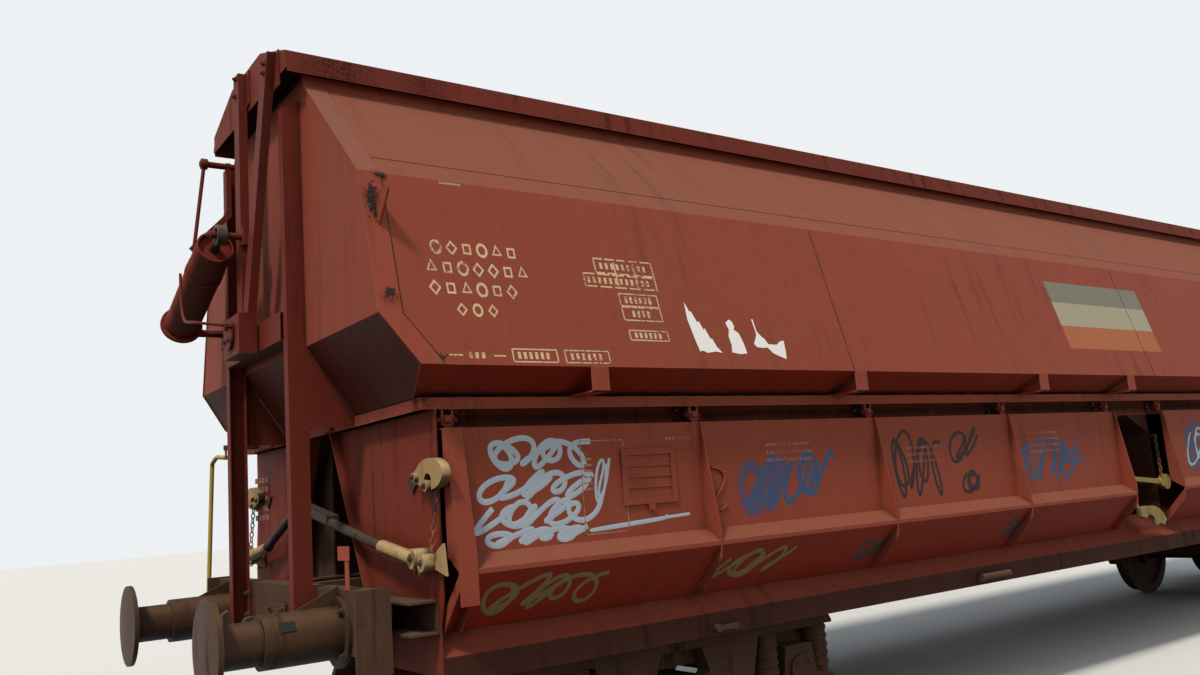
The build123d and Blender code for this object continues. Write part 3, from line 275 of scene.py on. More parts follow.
# Corners of the near side where moss grows: middle, reach, strength
MOSSY = (
    ((-6.61, -1.38, 3.06), 0.09, 0.9),
    ((-6.56, -1.33, 3.18), 0.06, 0.8),
    ((-6.60, -1.50, 2.56), 0.07, 0.8),
    ((-6.42, -1.38, 2.12), 0.10, 0.8),
)
# Soot on the roof's corner over the cylinder: middle, reach, strength
ROOF_SOOT = (
    ((-6.5, -0.72, 3.98), 0.35, 0.7),
    ((-6.0, -0.72, 3.99), 0.25, 0.5),
)
CAST = {"grime": 1.0, "rusting": 1.0, "rough": 0.55, "chalk": 0.4, "patch": 0.3}

RECIPES = {
    # finish: maker, name, tones as hex values or the panel's names, settings
    # Alkyd enamel, sprayed, then twenty years of sun: matt, pinkish on top and deep red below
    "oxide_paint": (weathered, "oxide_enamel", "enamel chalked #7e2616 soot rust #a05a48",
                    {"grime": 0.32, "rusting": 0.35, "dirt_lines": LEDGES, "spots": MOSSY}),
    # Plates welded on later, in a second, paler coat of it
    "second_coat": (weathered, "second_coat_enamel", "#8a4131 #7c5040 #8a2a18 soot rust #a86552",
                    {"grime": 0.4, "rusting": 0.6, "spots": MOSSY}),
    # Chute lips, aprons and the tunnel under spilt ballast dust, painted dark brown also for the shade under
    # the shut plates: quite dull
    "spill_dust_and_shade": (weathered, "spill_dusted_enamel", "#3d2019 #43281f #2c120d #17100c #4d3a2c #5b3a2e",
                   {"grime": 0.7, "rusting": 0.6, "rough": 0.75}),
    # Painted shade: the enamel in deeper tones for the end slopes, lower ends and saddle, and dirtier
    "shade_painted": (weathered, "sheltered_enamel", "#6f2a1c #74392b #3a120b #1d0e0a rust #8a4a38",
                  {"grime": 0.45, "rusting": 0.4}),
    # The same enamel in darker tones, on the posts, arms and fittings near the roof's gear
    "sooty": (weathered, "sooty_enamel", "#642519 #6d3527 #2e0f0a #180a08 rust #8a4a3a",
              {"grime": 0.6, "rusting": 0.4, "rough": 0.55}),
    # Roof enamel streaked by engine soot and rain from the crown down
    "roof": (weathered, "roof_enamel", "#6c2c20 #7c3c2c #3a140d #1b0d0a #5b4031 #9a5240",
             {"grime": 0.75, "rusting": 0.5, "spots": ROOF_SOOT}),
    # Enamel wiped with hydraulic oil: dark, even, with hardly any rust
    "cylinder": (weathered, "greasy_enamel", "#74291c #7c3829 #34100a #1c0c09 rust #6b3a30",
                 {"grime": 0.4, "rusting": 0.2, "shine": 0.1}),
    # Bare rolled steel under brown brake dust: dry, almost no shine
    "underframe_steel": (weathered, "brake_dusted_steel",
                         "underframe #66503e #21160f #15100c #74432a #7a6350",
                         {"grime": 0.9, "rusting": 1.0, "rough": 0.75, "patch": 0.4}),
    # Forged steel with old grease rubbed thin: a broad dull gloss
    "buffer_steel": (weathered, "greasy_forged_steel", "#432e20 #57402e #17100c #120d0a #70401f #6e5a48",
                     {"grime": 0.9, "rusting": 1.0, "rough": 0.5, "patch": 0.35}),
    # Rolled wheel steel under a thin even rust
    "wheel_steel": (weathered, "rusted_wheel_steel", "#4c3629 #644c3b #1c130e #15100c #71452b #857567",
                    {"grime": 0.6, "rusting": 0.8}),
    # Ground and chromed rod, dulled by weather
    "rod_steel": (weathered, "ground_rod_steel", "#4f443c #5f554c #2c221c #1a1410 #5b3826 #8a837a",
                  {"grime": 0.6, "rusting": 0.5, "rough": 0.4}),
    # Sand castings in cream paint, chipped and greasy
    "cream_castings": (weathered, "cream_castings_paint", "castings #b9a27a #5b4730 #2a1d14 #6d4222 #c9b48c",
                       CAST),
    # The same cream under tar that drips from the tunnel
    "tarred_castings": (weathered, "tarred_castings_paint",
                        "#8a7648 #9a8a5e #463a20 #1d150e #5d3a1e #a89868", CAST),
    # Yellow enamel on a grab rail, worn through by gloves
    "yellow_paint": (weathered, "grab_rail_yellow", "#b3a04a #c4b35a #6d5b2c #3d2f20 #6d4528 #8a6a48",
                     {"grime": 0.7, "rusting": 1.0, "rough": 0.5, "patch": 0.3}),
    # Turned shafts under black grease
    "dark_gear": (weathered, "greasy_shaft_steel", "#3d302a #4d3f36 #15100d #0d0a08 #5c3a26 #75655a",
                  {"grime": 0.8, "rusting": 0.7, "rough": 0.55}),
    # Signal red enamel on a marker board, faded towards pink
    "marker": (weathered, "marker_red", "#a04a3a #a9584a #5b2a20 #2b1510 rust #8a5a4a",
               {"grime": 0.3, "rusting": 0.3}),
    # Stencil paint, flat and flaked; the older one nearly gone
    "stencil": (brushed_on, "stencil_cream", "stencil enamel", {"wear": 0.75, "lump": 0.012}),
    "faint_stencil": (brushed_on, "old_stencil", "#a08c7c enamel", {"wear": 1.0, "lump": 0.010}),
    # Torn polythene film: white, whole and a little glossy
    "film": (brushed_on, "torn_film", "#eae9e5 #a09c96", {"wear": 0.1, "rough": 0.45, "lump": 0.05}),
    # Forged links, greasy at the top and rusty below
    "chain": (chain_steel, "rusty_chain", "#1d1511 #8a4a20", {"turn_z": 1.53}),
    # Dry moss and dust, black grease with a wet gloss, and the filler of a weld seam
    "caked": (caked, "caked_moss", "#5a4c38 #120d09", {}),
    "grease": (caked, "black_grease", "#241a15 #0c0807", {"rough": 0.4}),
    "crack": (caked, "filled_seam", "#4d2219 #2c100b", {}),
}
# Rolled-on panel paint: even bands with a few flakes off
for band in ("band_top", "band_middle", "band_low"):
    RECIPES[band] = (brushed_on, band + "_paint", band + " enamel", {"wear": 0.15, "lump": 0.06})
AEROSOLS = (
    # finish, colour, wear, lump: opaque when fresh, in open flakes when old, a fine mist at its rim
    ("mist_blue", "mark_blue", 0.9, 0.004),
    ("mark_pale", "mark_pale", 0.15, 0.02),
    ("mark_blue", "mark_blue", 0.45, 0.02),
    ("mark_dark", "mark_dark", 0.1, 0.02),
    ("mark_olive", "mark_olive", 0.55, 0.02),
)
for finish, colour, wear, lump in AEROSOLS:
    RECIPES[finish] = (brushed_on, finish + "_aerosol", colour + " #7a3527", {"wear": wear, "lump": lump})
FINISHES = {}


# Mesh helpers

def new_object(name, data):
    """An object in the scene with its data."""
    thing = bpy.data.objects.new(name, data)
    bpy.context.scene.collection.objects.link(thing)
    return thing


def new_mesh(work, name, materials):
    """Turn a bmesh into an object with materials."""
    mesh = bpy.data.meshes.new(name)
    work.to_mesh(mesh)
    work.free()
    for material in materials:
        mesh.materials.append(material)
    return new_object(name, mesh)


def keep(work, name, finish, body="root", stands_for=()):
    """Turn a bmesh into a piece that rides on a body."""
    finishes = [finish] if isinstance(finish, str) else finish
    piece = new_mesh(work, name, [FINISHES[entry] for entry in finishes])
    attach(piece, body)
    if stands_for:
        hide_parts(*stands_for)


def join(work, other, matrix=None):
    """Add one bmesh to another, at a place."""
    if matrix:
        bmesh.ops.transform(other, matrix=matrix, verts=other.verts)
    mesh = bpy.data.meshes.new("scratch")
    other.to_mesh(mesh)
    other.free()
    work.from_mesh(mesh)
    bpy.data.meshes.remove(mesh)


def box(work, start, stop):
    """A box between two corners."""
    low = [min(pair) for pair in zip(start, stop)]
    high = [max(pair) for pair in zip(start, stop)]
    size = [b - a for a, b in zip(low, high)]
    middle = [(a + b) / 2 for a, b in zip(low, high)]
    bmesh.ops.create_cube(work, size=1.0, matrix=Matrix.Translation(middle) @ Matrix.Diagonal((*size, 1)))


def chamfer(work, width, segments):
    """Take the sharpness off every edge."""
    bmesh.ops.bevel(work, geom=work.edges, offset=width, segments=segments, profile=0.5, affect="EDGES",
                    material=-1)


def along(start, end):
    """A matrix whose Z runs from one point to another, and the distance."""
    line = Vector(end) - Vector(start)
    turn = line.to_track_quat("Z", "Y").to_matrix().to_4x4()
    return Matrix.Translation((Vector(start) + Vector(end)) / 2) @ turn, line.length


def bar(work, start, end, radius, sides=12):
    """A round bar between two points."""
    matrix, length = along(start, end)
    bmesh.ops.create_cone(work, cap_ends=True, segments=sides, radius1=radius, radius2=radius, depth=length,
                          matrix=matrix)


def bolt(work, at, out, width):
    """A washer, a hexagon head and the thread's end, standing out from a face."""
    at = Vector(at)
    out = Vector(out)
    stages = (
        # from, to, radius as shares of the width, sides
        (0.0, 0.14, 0.86, 14),
        (0.14, 0.66, 0.56, 6),
        (0.66, 0.95, 0.27, 8),
    )
    for low, high, radius, sides in stages:
        bar(work, at + out * width * low, at + out * width * high, width * radius, sides)


def around(count, radius, start):
    """Points (across, up) of a circle, from an angle in degrees."""
    angles = [math.radians(start + 360 / count * index) for index in range(count)]
    return [(radius * math.cos(angle), radius * math.sin(angle)) for angle in angles]


def swept(radius, wire, sides, turns, steps, **more):
    """A bmesh of a wire swept round Z."""
    work = bmesh.new()
    turn = Matrix.Translation((radius, 0, 0)) @ Matrix.Rotation(QUARTER, 4, "X")
    bmesh.ops.create_circle(work, segments=sides, radius=wire, matrix=turn)
    bmesh.ops.spin(work, geom=work.verts[:] + work.edges[:], cent=(0, 0, 0), axis=(0, 0, 1),
                   angle=math.tau * turns, steps=steps, **more)
    bmesh.ops.holes_fill(work, edges=[edge for edge in work.edges if edge.is_boundary], sides=0)
    bmesh.ops.recalc_face_normals(work, faces=work.faces)
    return work


def ring(radius, wire, sides=6, steps=14):
    """A closed ring round Z."""
    return swept(radius, wire, sides, 1, steps, use_merge=True)


def coil(radius, wire, height, turns):
    """An open helical spring round Z, with closed ends."""
    steps = 18 * turns
    return swept(radius, wire, 8, turns, steps, dvec=(0, 0, height / steps))


def bent_bar(points, radius, order=3, sides=3):
    """A bmesh of a round bar that follows a smooth line through the points' hull."""
    curve = bpy.data.curves.new("scratch", "CURVE")
    curve.dimensions = "3D"
    curve.bevel_depth = radius
    curve.bevel_resolution = sides
    curve.use_fill_caps = True
    curve.resolution_u = 6
    spline = curve.splines.new("NURBS")
    spline.points.add(len(points) - 1)
    for point, at in zip(spline.points, points):
        point.co = (*at, 1.0)
    spline.order_u = order
    spline.use_endpoint_u = True
    holder = bpy.data.objects.new("scratch", curve)
    mesh = bpy.data.meshes.new_from_object(holder)
    work = bmesh.new()
    work.from_mesh(mesh)
    bmesh.ops.remove_doubles(work, verts=work.verts, dist=0.00001)
    bpy.data.objects.remove(holder)
    bpy.data.curves.remove(curve)
    bpy.data.meshes.remove(mesh)
    return work


def smooth(work, angle=35.0):
    """Smooth faces, with creases sharper than an angle kept."""
    limit = math.radians(angle)
    for edge in work.edges:
        if len(edge.link_faces) == 2:
            edge.smooth = edge.calc_face_angle() < limit
    for face in work.faces:
        face.smooth = True


def chain(work, top, foot, wire, pitch):
    """Links hung between two points, each turned a quarter from the last."""
    matrix, length = along(top, foot)
    count = max(2, round(length / pitch))
    start = Vector(top)
    step = (Vector(foot) - start) / count
    turn = matrix.to_3x3().to_4x4()
    # A link is a ring drawn narrow, stood on its edge
    upright = (Matrix.Rotation(QUARTER, 4, "X") @ Matrix.Diagonal((0.72, 1.0, 1.0, 1.0))
               @ Matrix.Rotation(QUARTER, 4, "Z"))
    for index in range(count):
        quarter = Matrix.Rotation(QUARTER * (index % 2) + 0.2, 4, "Z")
        place = Matrix.Translation(start + step * (index + 0.5)) @ turn @ quarter @ upright
        join(work, ring(pitch * 0.56, wire), place)


# Marks, drawn on planes: x along the wagon, y how far it stands out, z the height above the rail

def lean(foot, top, side):
    """The plane through two (distance from the middle, height) points, on the near or far side."""
    slope = (top[0] - foot[0]) / (top[1] - foot[1])
    near = Matrix((
        (1, 0, 0, 0),
        (0, -1, -slope, slope * foot[1] - foot[0]),
        (0, 0, 1, RAIL),
        (0, 0, 0, 1),
    ))
    return Matrix.Rotation(math.pi, 4, "Z") @ near if side > 0 else near


FACES = (
    # name, foot, top
    ("side", BELLY, SHOULDER),
    ("slope", SHOULDER, RIM_FOLD),
    ("flap", (FLAP_Y, FLAP_LIP[1]), (FLAP_Y, PIN[1])),
    ("shut", FLAP_FOOT, FLAP_LIP),
)
PLANES = {f"{name}_{face}": lean(foot, top, side) for name, side in SIDES for face, foot, top in FACES}
MARK_T = 0.0007


def lay(work, plane):
    """Move marks drawn in x and z onto a plane of the wagon."""
    bmesh.ops.transform(work, matrix=PLANES[plane], verts=work.verts)
    bmesh.ops.recalc_face_normals(work, faces=work.faces)


def mark(work, x0, x1, z0, z1):
    """A thin painted rectangle."""
    box(work, (x0, 0.0001, z0), (x1, MARK_T, z1))


def outline_mark(work, x0, x1, z0, z1, line, gaps=0):
    """A painted rectangular frame, in dashes where it was stencilled with gaps."""
    pieces = gaps + 1
    share = 0.8 if gaps else 1
    wide = (x1 - x0) / pieces
    tall = (z1 - z0) / pieces
    for index in range(pieces):
        for z in (z0, z1 - line):
            mark(work, x0 + index * wide, x0 + (index + share) * wide, z, z + line)
        for x in (x0, x1 - line):
            mark(work, x, x + line, z0 + index * tall, z0 + (index + share) * tall)


def tangle(x0, x1, z0, z1, loops, phase):
    """Points of a loose tangle of brush loops that fills a rectangle."""
    points = []
    steps = loops * 7
    reach = 0.9 * (x1 - x0) / loops
    half = (z1 - z0) / 2
    for index in range(steps + 1):
        t = index / steps
        angle = t * loops * math.tau
        sway = 0.75 * math.sin(angle + phase) + 0.35 * math.sin(0.37 * angle + 2 * phase)
        lift = math.cos(angle + 0.9 * math.sin(0.23 * angle + phase))
        lift *= 0.78 + 0.22 * math.sin(0.61 * angle)
        x = x0 + reach + (x1 - x0 - 2 * reach) * t + reach * sway
        points.append((x, 0.0, (z0 + z1) / 2 + half * lift))
    return points


def stroke(points, width, thick):
    """A flat painted line along the points."""
    work = bent_bar(points, width / 2, order=4, sides=0)
    bmesh.ops.transform(work, matrix=Matrix.Diagonal((1, thick / width * 2, 1, 1)), verts=work.verts)
    for face in work.faces:
        face.smooth = False
    return work


# Plain signs: steps of the ring that makes each, degrees that it is turned
SIGNS = {"ring": (14, 90), "diamond": (4, 90), "peak": (3, 90), "square": (4, 45)}


def token(work, kind, x, z, tall):
    """One plain stencilled sign."""
    steps, turned = SIGNS[kind]
    wire = tall * 0.1
    flat = Matrix.Diagonal((0.8, MARK_T / wire / 2, 1, 1)) @ Matrix.Rotation(QUARTER, 4, "X")
    turn = Matrix.Rotation(math.radians(turned), 4, "Z")
    join(work, ring(tall * 0.4, wire, 4, steps), Matrix.Translation((x, MARK_T / 2, z)) @ flat @ turn)


# Operators

class HOPPER_OT_finishes(bpy.types.Operator):
    """Make every finish from the panel's colours"""
    bl_idname = "hopper.finishes"
    bl_label = "Finishes"

    def execute(self, context):
        paint = context.scene.hopper_paint
        for finish, (maker, name, words, settings) in RECIPES.items():
            tones = [linear(word) if word[0] == "#" else (*getattr(paint, word), 1.0)
                     for word in words.split()]
            FINISHES[finish] = bpy.data.materials.new(name)
            maker(FINISHES[finish], tones, **settings)
        return {"FINISHED"}


def is_shaft(at):
    """Whether a face of the flaps' lock gear is on a dark shaft, not on a cream casting."""
    across = abs(at.y)
    height = at.z - RAIL
    from_pin = math.hypot(across - 1.251, height - 1.737)
    return across < 0.93 or (height > 1.6 and (across < 1.19 or 0.0225 < from_pin < 0.0375))


# Nodes that take more than their slot's finish: node, finishes, whether a face takes the second one
SPECIAL = {
    "side_sheet_near": (("oxide_paint", "second_coat"), lambda at: abs(at.x) > 6.3),
    "side_sheet_far": (("oxide_paint", "second_coat"), lambda at: abs(at.x) > 6.3),
    # The end slope below the fold, the saddle and the lower ends take the enamel painted darker for shade
    "end_wall": (("oxide_paint", "shade_painted"), lambda at: at.z < 2.44 + RAIL),
    "saddle_floor": (("shade_painted", "spill_dust_and_shade"), lambda at: at.z < 1.1 + RAIL),
    "lock_gear": (("cream_castings", "dark_gear"), is_shaft),
    "centre_gear": (("tarred_castings", "dark_gear"), lambda at: abs(at.y) < 1.35),
    "handrails": (("yellow_paint", "oxide_paint"),
                  lambda at: abs(at.y) < 1.05 and at.z > 1.99 + RAIL and abs(at.x) < 6.63),
    "headstock": (("underframe_steel", "marker"), lambda at: at.z > 1.265 + RAIL and abs(at.y) < 1.2),
    "lower_end": (("shade_painted",), None),
    # The tunnel takes the spilt dust with painted shade
    "cross_tunnel": (("spill_dust_and_shade",), None),
    "end_posts": (("sooty",), None),
    "roof_arms": (("sooty",), None),
    "roof_locks": (("sooty",), None),
    "roof_shell": (("roof",), None),
    "roof_cylinder": (("cylinder",), None),
}


class HOPPER_OT_finish_steel(bpy.types.Operator):
    """Merge a copy of each CAD node, smooth its curves and paint it"""
    bl_idname = "hopper.finish_steel"
    bl_label = "Finish the steel"

    def execute(self, context):
        for node, source in frame["nodes"].items():
            work = bmesh.new()
            work.from_mesh(source.data)
            bmesh.ops.remove_doubles(work, verts=work.verts, dist=0.00002)
            bmesh.ops.dissolve_limit(work, angle_limit=math.radians(0.5), verts=work.verts, edges=work.edges)
            smooth(work, 30.0)
            kind = node[:-2] if node.endswith(("_a", "_b")) else node
            finishes, second = SPECIAL.get(kind, ((SLOTS[node],), None))
            if second:
                for face in work.faces:
                    face.material_index = int(second(face.calc_center_median()))
            keep(work, node + "_steel", finishes, BODIES[node], (node,))
        return {"FINISHED"}


# Heights and places of the weld seams, and how far they keep from a fold
SEAM_TOP = 3.285
STRIP_BEND = 2.46
STRIP_FOOT_X = 6.391
SIDE_SEAMS = (-3.65, 0.02, 3.65)
FOLD_GAP = 0.01


class HOPPER_OT_seams(bpy.types.Operator):
    """Weld seams of the upper body"""
    bl_idname = "hopper.seams"
    bl_label = "Seams"

    def execute(self, context):
        half = context.scene.hopper_sizes.seam_width / 2
        edge = half * 1.5
        sunk = -half * 0.35
        for side, _ in SIDES:
            slope = bmesh.new()
            bar(slope, (-6.55, sunk, SEAM_TOP), (6.55, sunk, SEAM_TOP), half, 6)
            upright = bmesh.new()
            for _, end in ENDS:
                x = end * STRIP_X
                bar(slope, (x, 0, SHOULDER[1] + FOLD_GAP), (x, 0, RIM_FOLD[1] - 2 * FOLD_GAP), edge, 6)
                bar(upright, (x, 0, STRIP_BEND), (x, 0, SHOULDER[1] - FOLD_GAP), edge, 6)
                bar(upright, (x, 0, STRIP_BEND), (end * STRIP_FOOT_X, 0, BELLY[1] + FOLD_GAP), edge, 6)
            for x in SIDE_SEAMS:
                foot = (x, sunk, BELLY[1] + FOLD_GAP / 2)
                bar(upright, foot, (x, sunk, SHOULDER[1] - FOLD_GAP / 2), half, 6)
            lay(slope, side + "_slope")
            lay(upright, side + "_side")
            join(slope, upright)
            keep(slope, side + "_seams", "crack")
        return {"FINISHED"}


# Places along the far side; the near side is its half turn
STRAPS = (0.37, 1.61, 3.595, 5.54, -1.61, -3.595, -5.54)
STRAP_WIDTH = 0.105
STRAP_THICK = 0.008


class HOPPER_OT_straps(bpy.types.Operator):
    """Angle straps that tie the belly's edge down to the belt"""
    bl_idname = "hopper.straps"
    bl_label = "Straps"

    def execute(self, context):
        half = STRAP_WIDTH / 2
        floor = BELT_TOP + RAIL
        for side, turn in (("near", math.pi), ("far", 0.0)):
            work = bmesh.new()
            for x in STRAPS:
                edge = (x + half, BELLY[0], BELLY[1] + RAIL)
                box(work, (x - half, BELLY[0] - STRAP_THICK, floor), edge)
                box(work, (x - half, BELT_Y - 0.03, floor), (x + half, BELLY[0], floor + STRAP_THICK))
            bmesh.ops.rotate(work, verts=work.verts, matrix=Matrix.Rotation(turn, 3, "Z"))
            chamfer(work, 0.001, 1)
            keep(work, "belly_straps_" + side, "second_coat")
        return {"FINISHED"}


# Bolts of one end that stand on the root body
END_BOLTS = (
    # distance out, share of the width, sides, (across, height) of each
    # Buffer flanges, the posts' feet and the draw gear's plate
    (HEADSTOCK_X, 1.0, (-1, 1), ((0.775, 0.95), (0.775, 1.15), (0.975, 0.95), (0.975, 1.15),
                                 (0.53, 1.06), (0.53, 1.18), (0.105, 0.985), (0.105, 1.115))),
    # Lock gear's pins
    (6.4199, 0.7, (-1, 1), ((1.251, 1.737),)),
    (6.4039, 0.7, (-1, 1), ((1.338, 1.693),)),
    (6.4479, 0.7, (-1, 1), ((1.255, 1.369),)),
    (6.4419, 0.7, (-1, 1), ((1.343, 1.35),)),
    # The cylinder's foot, and three round the roof's pin
    (7.0, 1.2, (1,), ((0.95, 2.79),)),
    (6.907, 0.8, (1,), [(across, 2.6 + up) for across, up in around(3, 0.046, 90)]),
)
# Bolts of the roof's arms: (distance out, across, height), share of the width
ARM_BOLTS = (
    ((6.838, -0.012, 4.107), 0.9),
    ((6.838, 0.011, 4.01), 0.9),
    ((6.838, -0.5325, 3.988), 0.9),
    ((6.838, -0.5215, 3.94), 0.9),
    ((7.0, -0.05, 3.16), 1.0),
)


class HOPPER_OT_bolts(bpy.types.Operator):
    """Bolts of the hinges, posts, arms, buffers, lock gear and axle boxes"""
    bl_idname = "hopper.bolts"
    bl_label = "Bolts"

    def execute(self, context):
        width = context.scene.hopper_sizes.bolt_width
        hinges = bmesh.new()
        for x in HINGES:
            for side in (-1, 1):
                for end in (-1, 1):
                    bolt(hinges, (x + end * 0.031, side * PIN[0], PIN[1] + RAIL), (end, 0, 0), width)
        keep(hinges, "hinge_nuts", "sooty")
        for letter, end in ENDS:
            fixed = bmesh.new()
            for out, share, sides, places in END_BOLTS:
                for side in sides:
                    for across, height in places:
                        bolt(fixed, (end * out, side * across, height + RAIL), (end, 0, 0), width * share)
            keep(fixed, "end_bolts_" + letter, "dark_gear")
            swung = bmesh.new()
            for (out, across, height), share in ARM_BOLTS:
                bolt(swung, (end * out, across, height + RAIL), (end, 0, 0), width * share)
            keep(swung, "arm_bolts_" + letter, "sooty", "roof")
            boxes = bmesh.new()
            for axle in AXLES:
                for side in (-1, 1):
                    for over, up in around(4, 0.072, 45):
                        at = (end * BOGIE_X + axle + over, side * 1.1, 0.46 + up + RAIL)
                        bolt(boxes, at, (0, side, 0), width * 0.8)
            keep(boxes, "box_bolts_" + letter, "underframe_steel", "bogie_" + letter)
        return {"FINISHED"}


# A spring's distance from the axle and the middle, foot, radius and height
SPRING_WING = 0.216
SPRING_Y = 1.0
SPRING_FOOT = 0.415
SPRING_RADIUS = 0.072
SPRING_HEIGHT = 0.2845


class HOPPER_OT_springs(bpy.types.Operator):
    """Coil springs on the axle boxes' wings"""
    bl_idname = "hopper.springs"
    bl_label = "Springs"

    def execute(self, context):
        wire = context.scene.hopper_sizes.spring_wire / 2
        for letter, end in ENDS:
            work = bmesh.new()
            for axle in AXLES:
                for wing in (-SPRING_WING, SPRING_WING):
                    for side in (-1, 1):
                        at = (end * BOGIE_X + axle + wing, side * SPRING_Y, SPRING_FOOT + wire + RAIL)
                        spring = coil(SPRING_RADIUS - wire * 0.35, wire, SPRING_HEIGHT - 2 * wire, 5)
                        join(work, spring, Matrix.Translation(at))
            smooth(work)
            keep(work, "coil_springs_" + letter, "underframe_steel", "bogie_" + letter)
        return {"FINISHED"}


class HOPPER_OT_chains(bpy.types.Operator):
    """Chains of the lock gear and of the release gear"""
    bl_idname = "hopper.chains"
    bl_label = "Chains"

    def execute(self, context):
        sizes = context.scene.hopper_sizes
        link = (sizes.chain_wire / 2, sizes.chain_pitch)
        work = bmesh.new()
        foot_z = 1.392 + RAIL
        for _, side in SIDES:
            for _, end in ENDS:
                top = (end * 6.375, side * 1.406, 1.675 + RAIL)
                chain(work, top, (end * 6.405, side * 1.392, foot_z), *link)
            x = -side * 0.174
            pin_z = 1.742 + RAIL
            chain(work, (x, side * 1.425, 1.73 + RAIL), (-side * 0.185, side * 1.425, foot_z), *link)
            bar(work, (x, side * 1.395, pin_z), (x, side * 1.437, pin_z), 0.009)
        keep(work, "lock_chains", "chain")
        return {"FINISHED"}


# The grease pipe's run from the post down to the roof's pin: (distance out, across, height)
PIPE = ((7.085, 0.283, 3.009), (7.085, 0.272, 2.90), (7.085, 0.26, 2.80), (7.085, 0.20, 2.715),
        (7.085, 0.08, 2.69), (7.085, -0.02, 2.672), (7.03, -0.055, 2.66), (6.912, -0.062, 2.652))
# The roof cylinder's foot and the way its barrel points
BARREL_FOOT = (6.95, 0.95, 2.79)
BARREL_WAY = (0, -1.0, 0.37)
BARREL_BANDS = (
    # from, to, radius
    (0.12, 0.15, 0.1035),
    (0.66, 0.70, 0.105),
    (0.735, 0.75, 0.103),
)
# Bends of the wire hook on the first flap, in x and z
HOOK = ((-4.72, 1.697), (-4.66, 1.692), (-4.615, 1.64), (-4.657, 1.575), (-4.715, 1.53), (-4.715, 1.47),
        (-4.66, 1.462), (-4.63, 1.49))
HOOK_Y = 1.4065


class HOPPER_OT_end_fittings(bpy.types.Operator):
    """Grease pipe, cylinder bands, hub plate, data plates, end marks and the wire hook"""
    bl_idname = "hopper.end_fittings"
    bl_label = "End fittings"

    def execute(self, context):
        for letter, end in ENDS:
            pipe = bent_bar([(end * x, y, z + RAIL) for x, y, z in PIPE], 0.0085)
            nut_at = Vector((end * 6.9085, -0.0625, 2.652 + RAIL))
            bar(pipe, nut_at, nut_at + Vector((end * 0.03, 0, 0)), 0.017, 6)
            smooth(pipe)
            keep(pipe, "grease_pipe_" + letter, "sooty")
            # Bands round the barrel, square to its line
            foot = Vector((end * BARREL_FOOT[0], BARREL_FOOT[1], BARREL_FOOT[2] + RAIL))
            way = Vector(BARREL_WAY).normalized()
            bands = bmesh.new()
            for low, high, radius in BARREL_BANDS:
                bar(bands, foot + way * low, foot + way * high, radius, 32)
            smooth(bands)
            keep(bands, "barrel_bands_" + letter, "cylinder", "barrel_" + letter)
            plate = bmesh.new()
            box(plate, (end * 6.80, -0.12, 2.7105 + RAIL), (end * 6.876, 0.12, 2.7165 + RAIL))
            chamfer(plate, 0.002, 2)
            keep(plate, "hub_plate_" + letter, "marker", "roof")
            # Blank data plates on the buffers' casings
            for name, side in SIDES:
                casing = bmesh.new()
                box(casing, (-0.036, -0.024, 0), (0.036, 0.024, 0.004))
                tilt = Matrix.Rotation(math.radians(-side * 58), 4, "X")
                middle = Matrix.Translation((end * 6.93, side * 0.875, 1.05 + RAIL))
                place = middle @ tilt @ Matrix.Translation((0, 0, 0.121))
                bmesh.ops.transform(casing, matrix=place, verts=casing.verts)
                keep(casing, f"buffer_plate_{letter}_{name}", "grease")
            # Rows of bars where the end's label stands
            label = bmesh.new()
            for row in range(5):
                z = 1.86 - 0.062 * row + RAIL
                for column in range(4):
                    y = -end * (1.15 + 0.075 * column)
                    box(label, (end * 6.3537, y, z - 0.020), (end * 6.3545, y - end * 0.055, z + 0.016))
            keep(label, "end_marks_" + letter, "faint_stencil")
        hook = bent_bar([(x, -HOOK_Y, z) for x, z in HOOK], 0.007)
        bmesh.ops.translate(hook, verts=hook.verts, vec=(0, 0, RAIL))
        smooth(hook)
        keep(hook, "wire_hook", "second_coat", "flap_near_a")
        return {"FINISHED"}


# The dirt's bed on the ledge, half its length and half its width
DIRT_BED = (6.30, 0.030)
MOSS_SEED = 41
MOSS = (
    # middle, spread, how many, largest radius, how far out
    ((-6.612, 3.01), (0.022, 0.085), 260, 0.007, 0.006),
    ((-6.56, 3.158), (0.030, 0.008), 70, 0.005, 0.006),
    ((-6.60, 2.555), (0.022, 0.018), 90, 0.006, 0.006),
    ((-6.40, 2.26), (0.03, 0.012), 30, 0.005, 0.001),
)


def clump(work, at, radius, size):
    """One lump of moss or grease, squashed to a size."""
    matrix = Matrix.Translation(at) @ Matrix.Diagonal((*size, 1))
    bmesh.ops.create_icosphere(work, subdivisions=1, radius=radius, matrix=matrix)


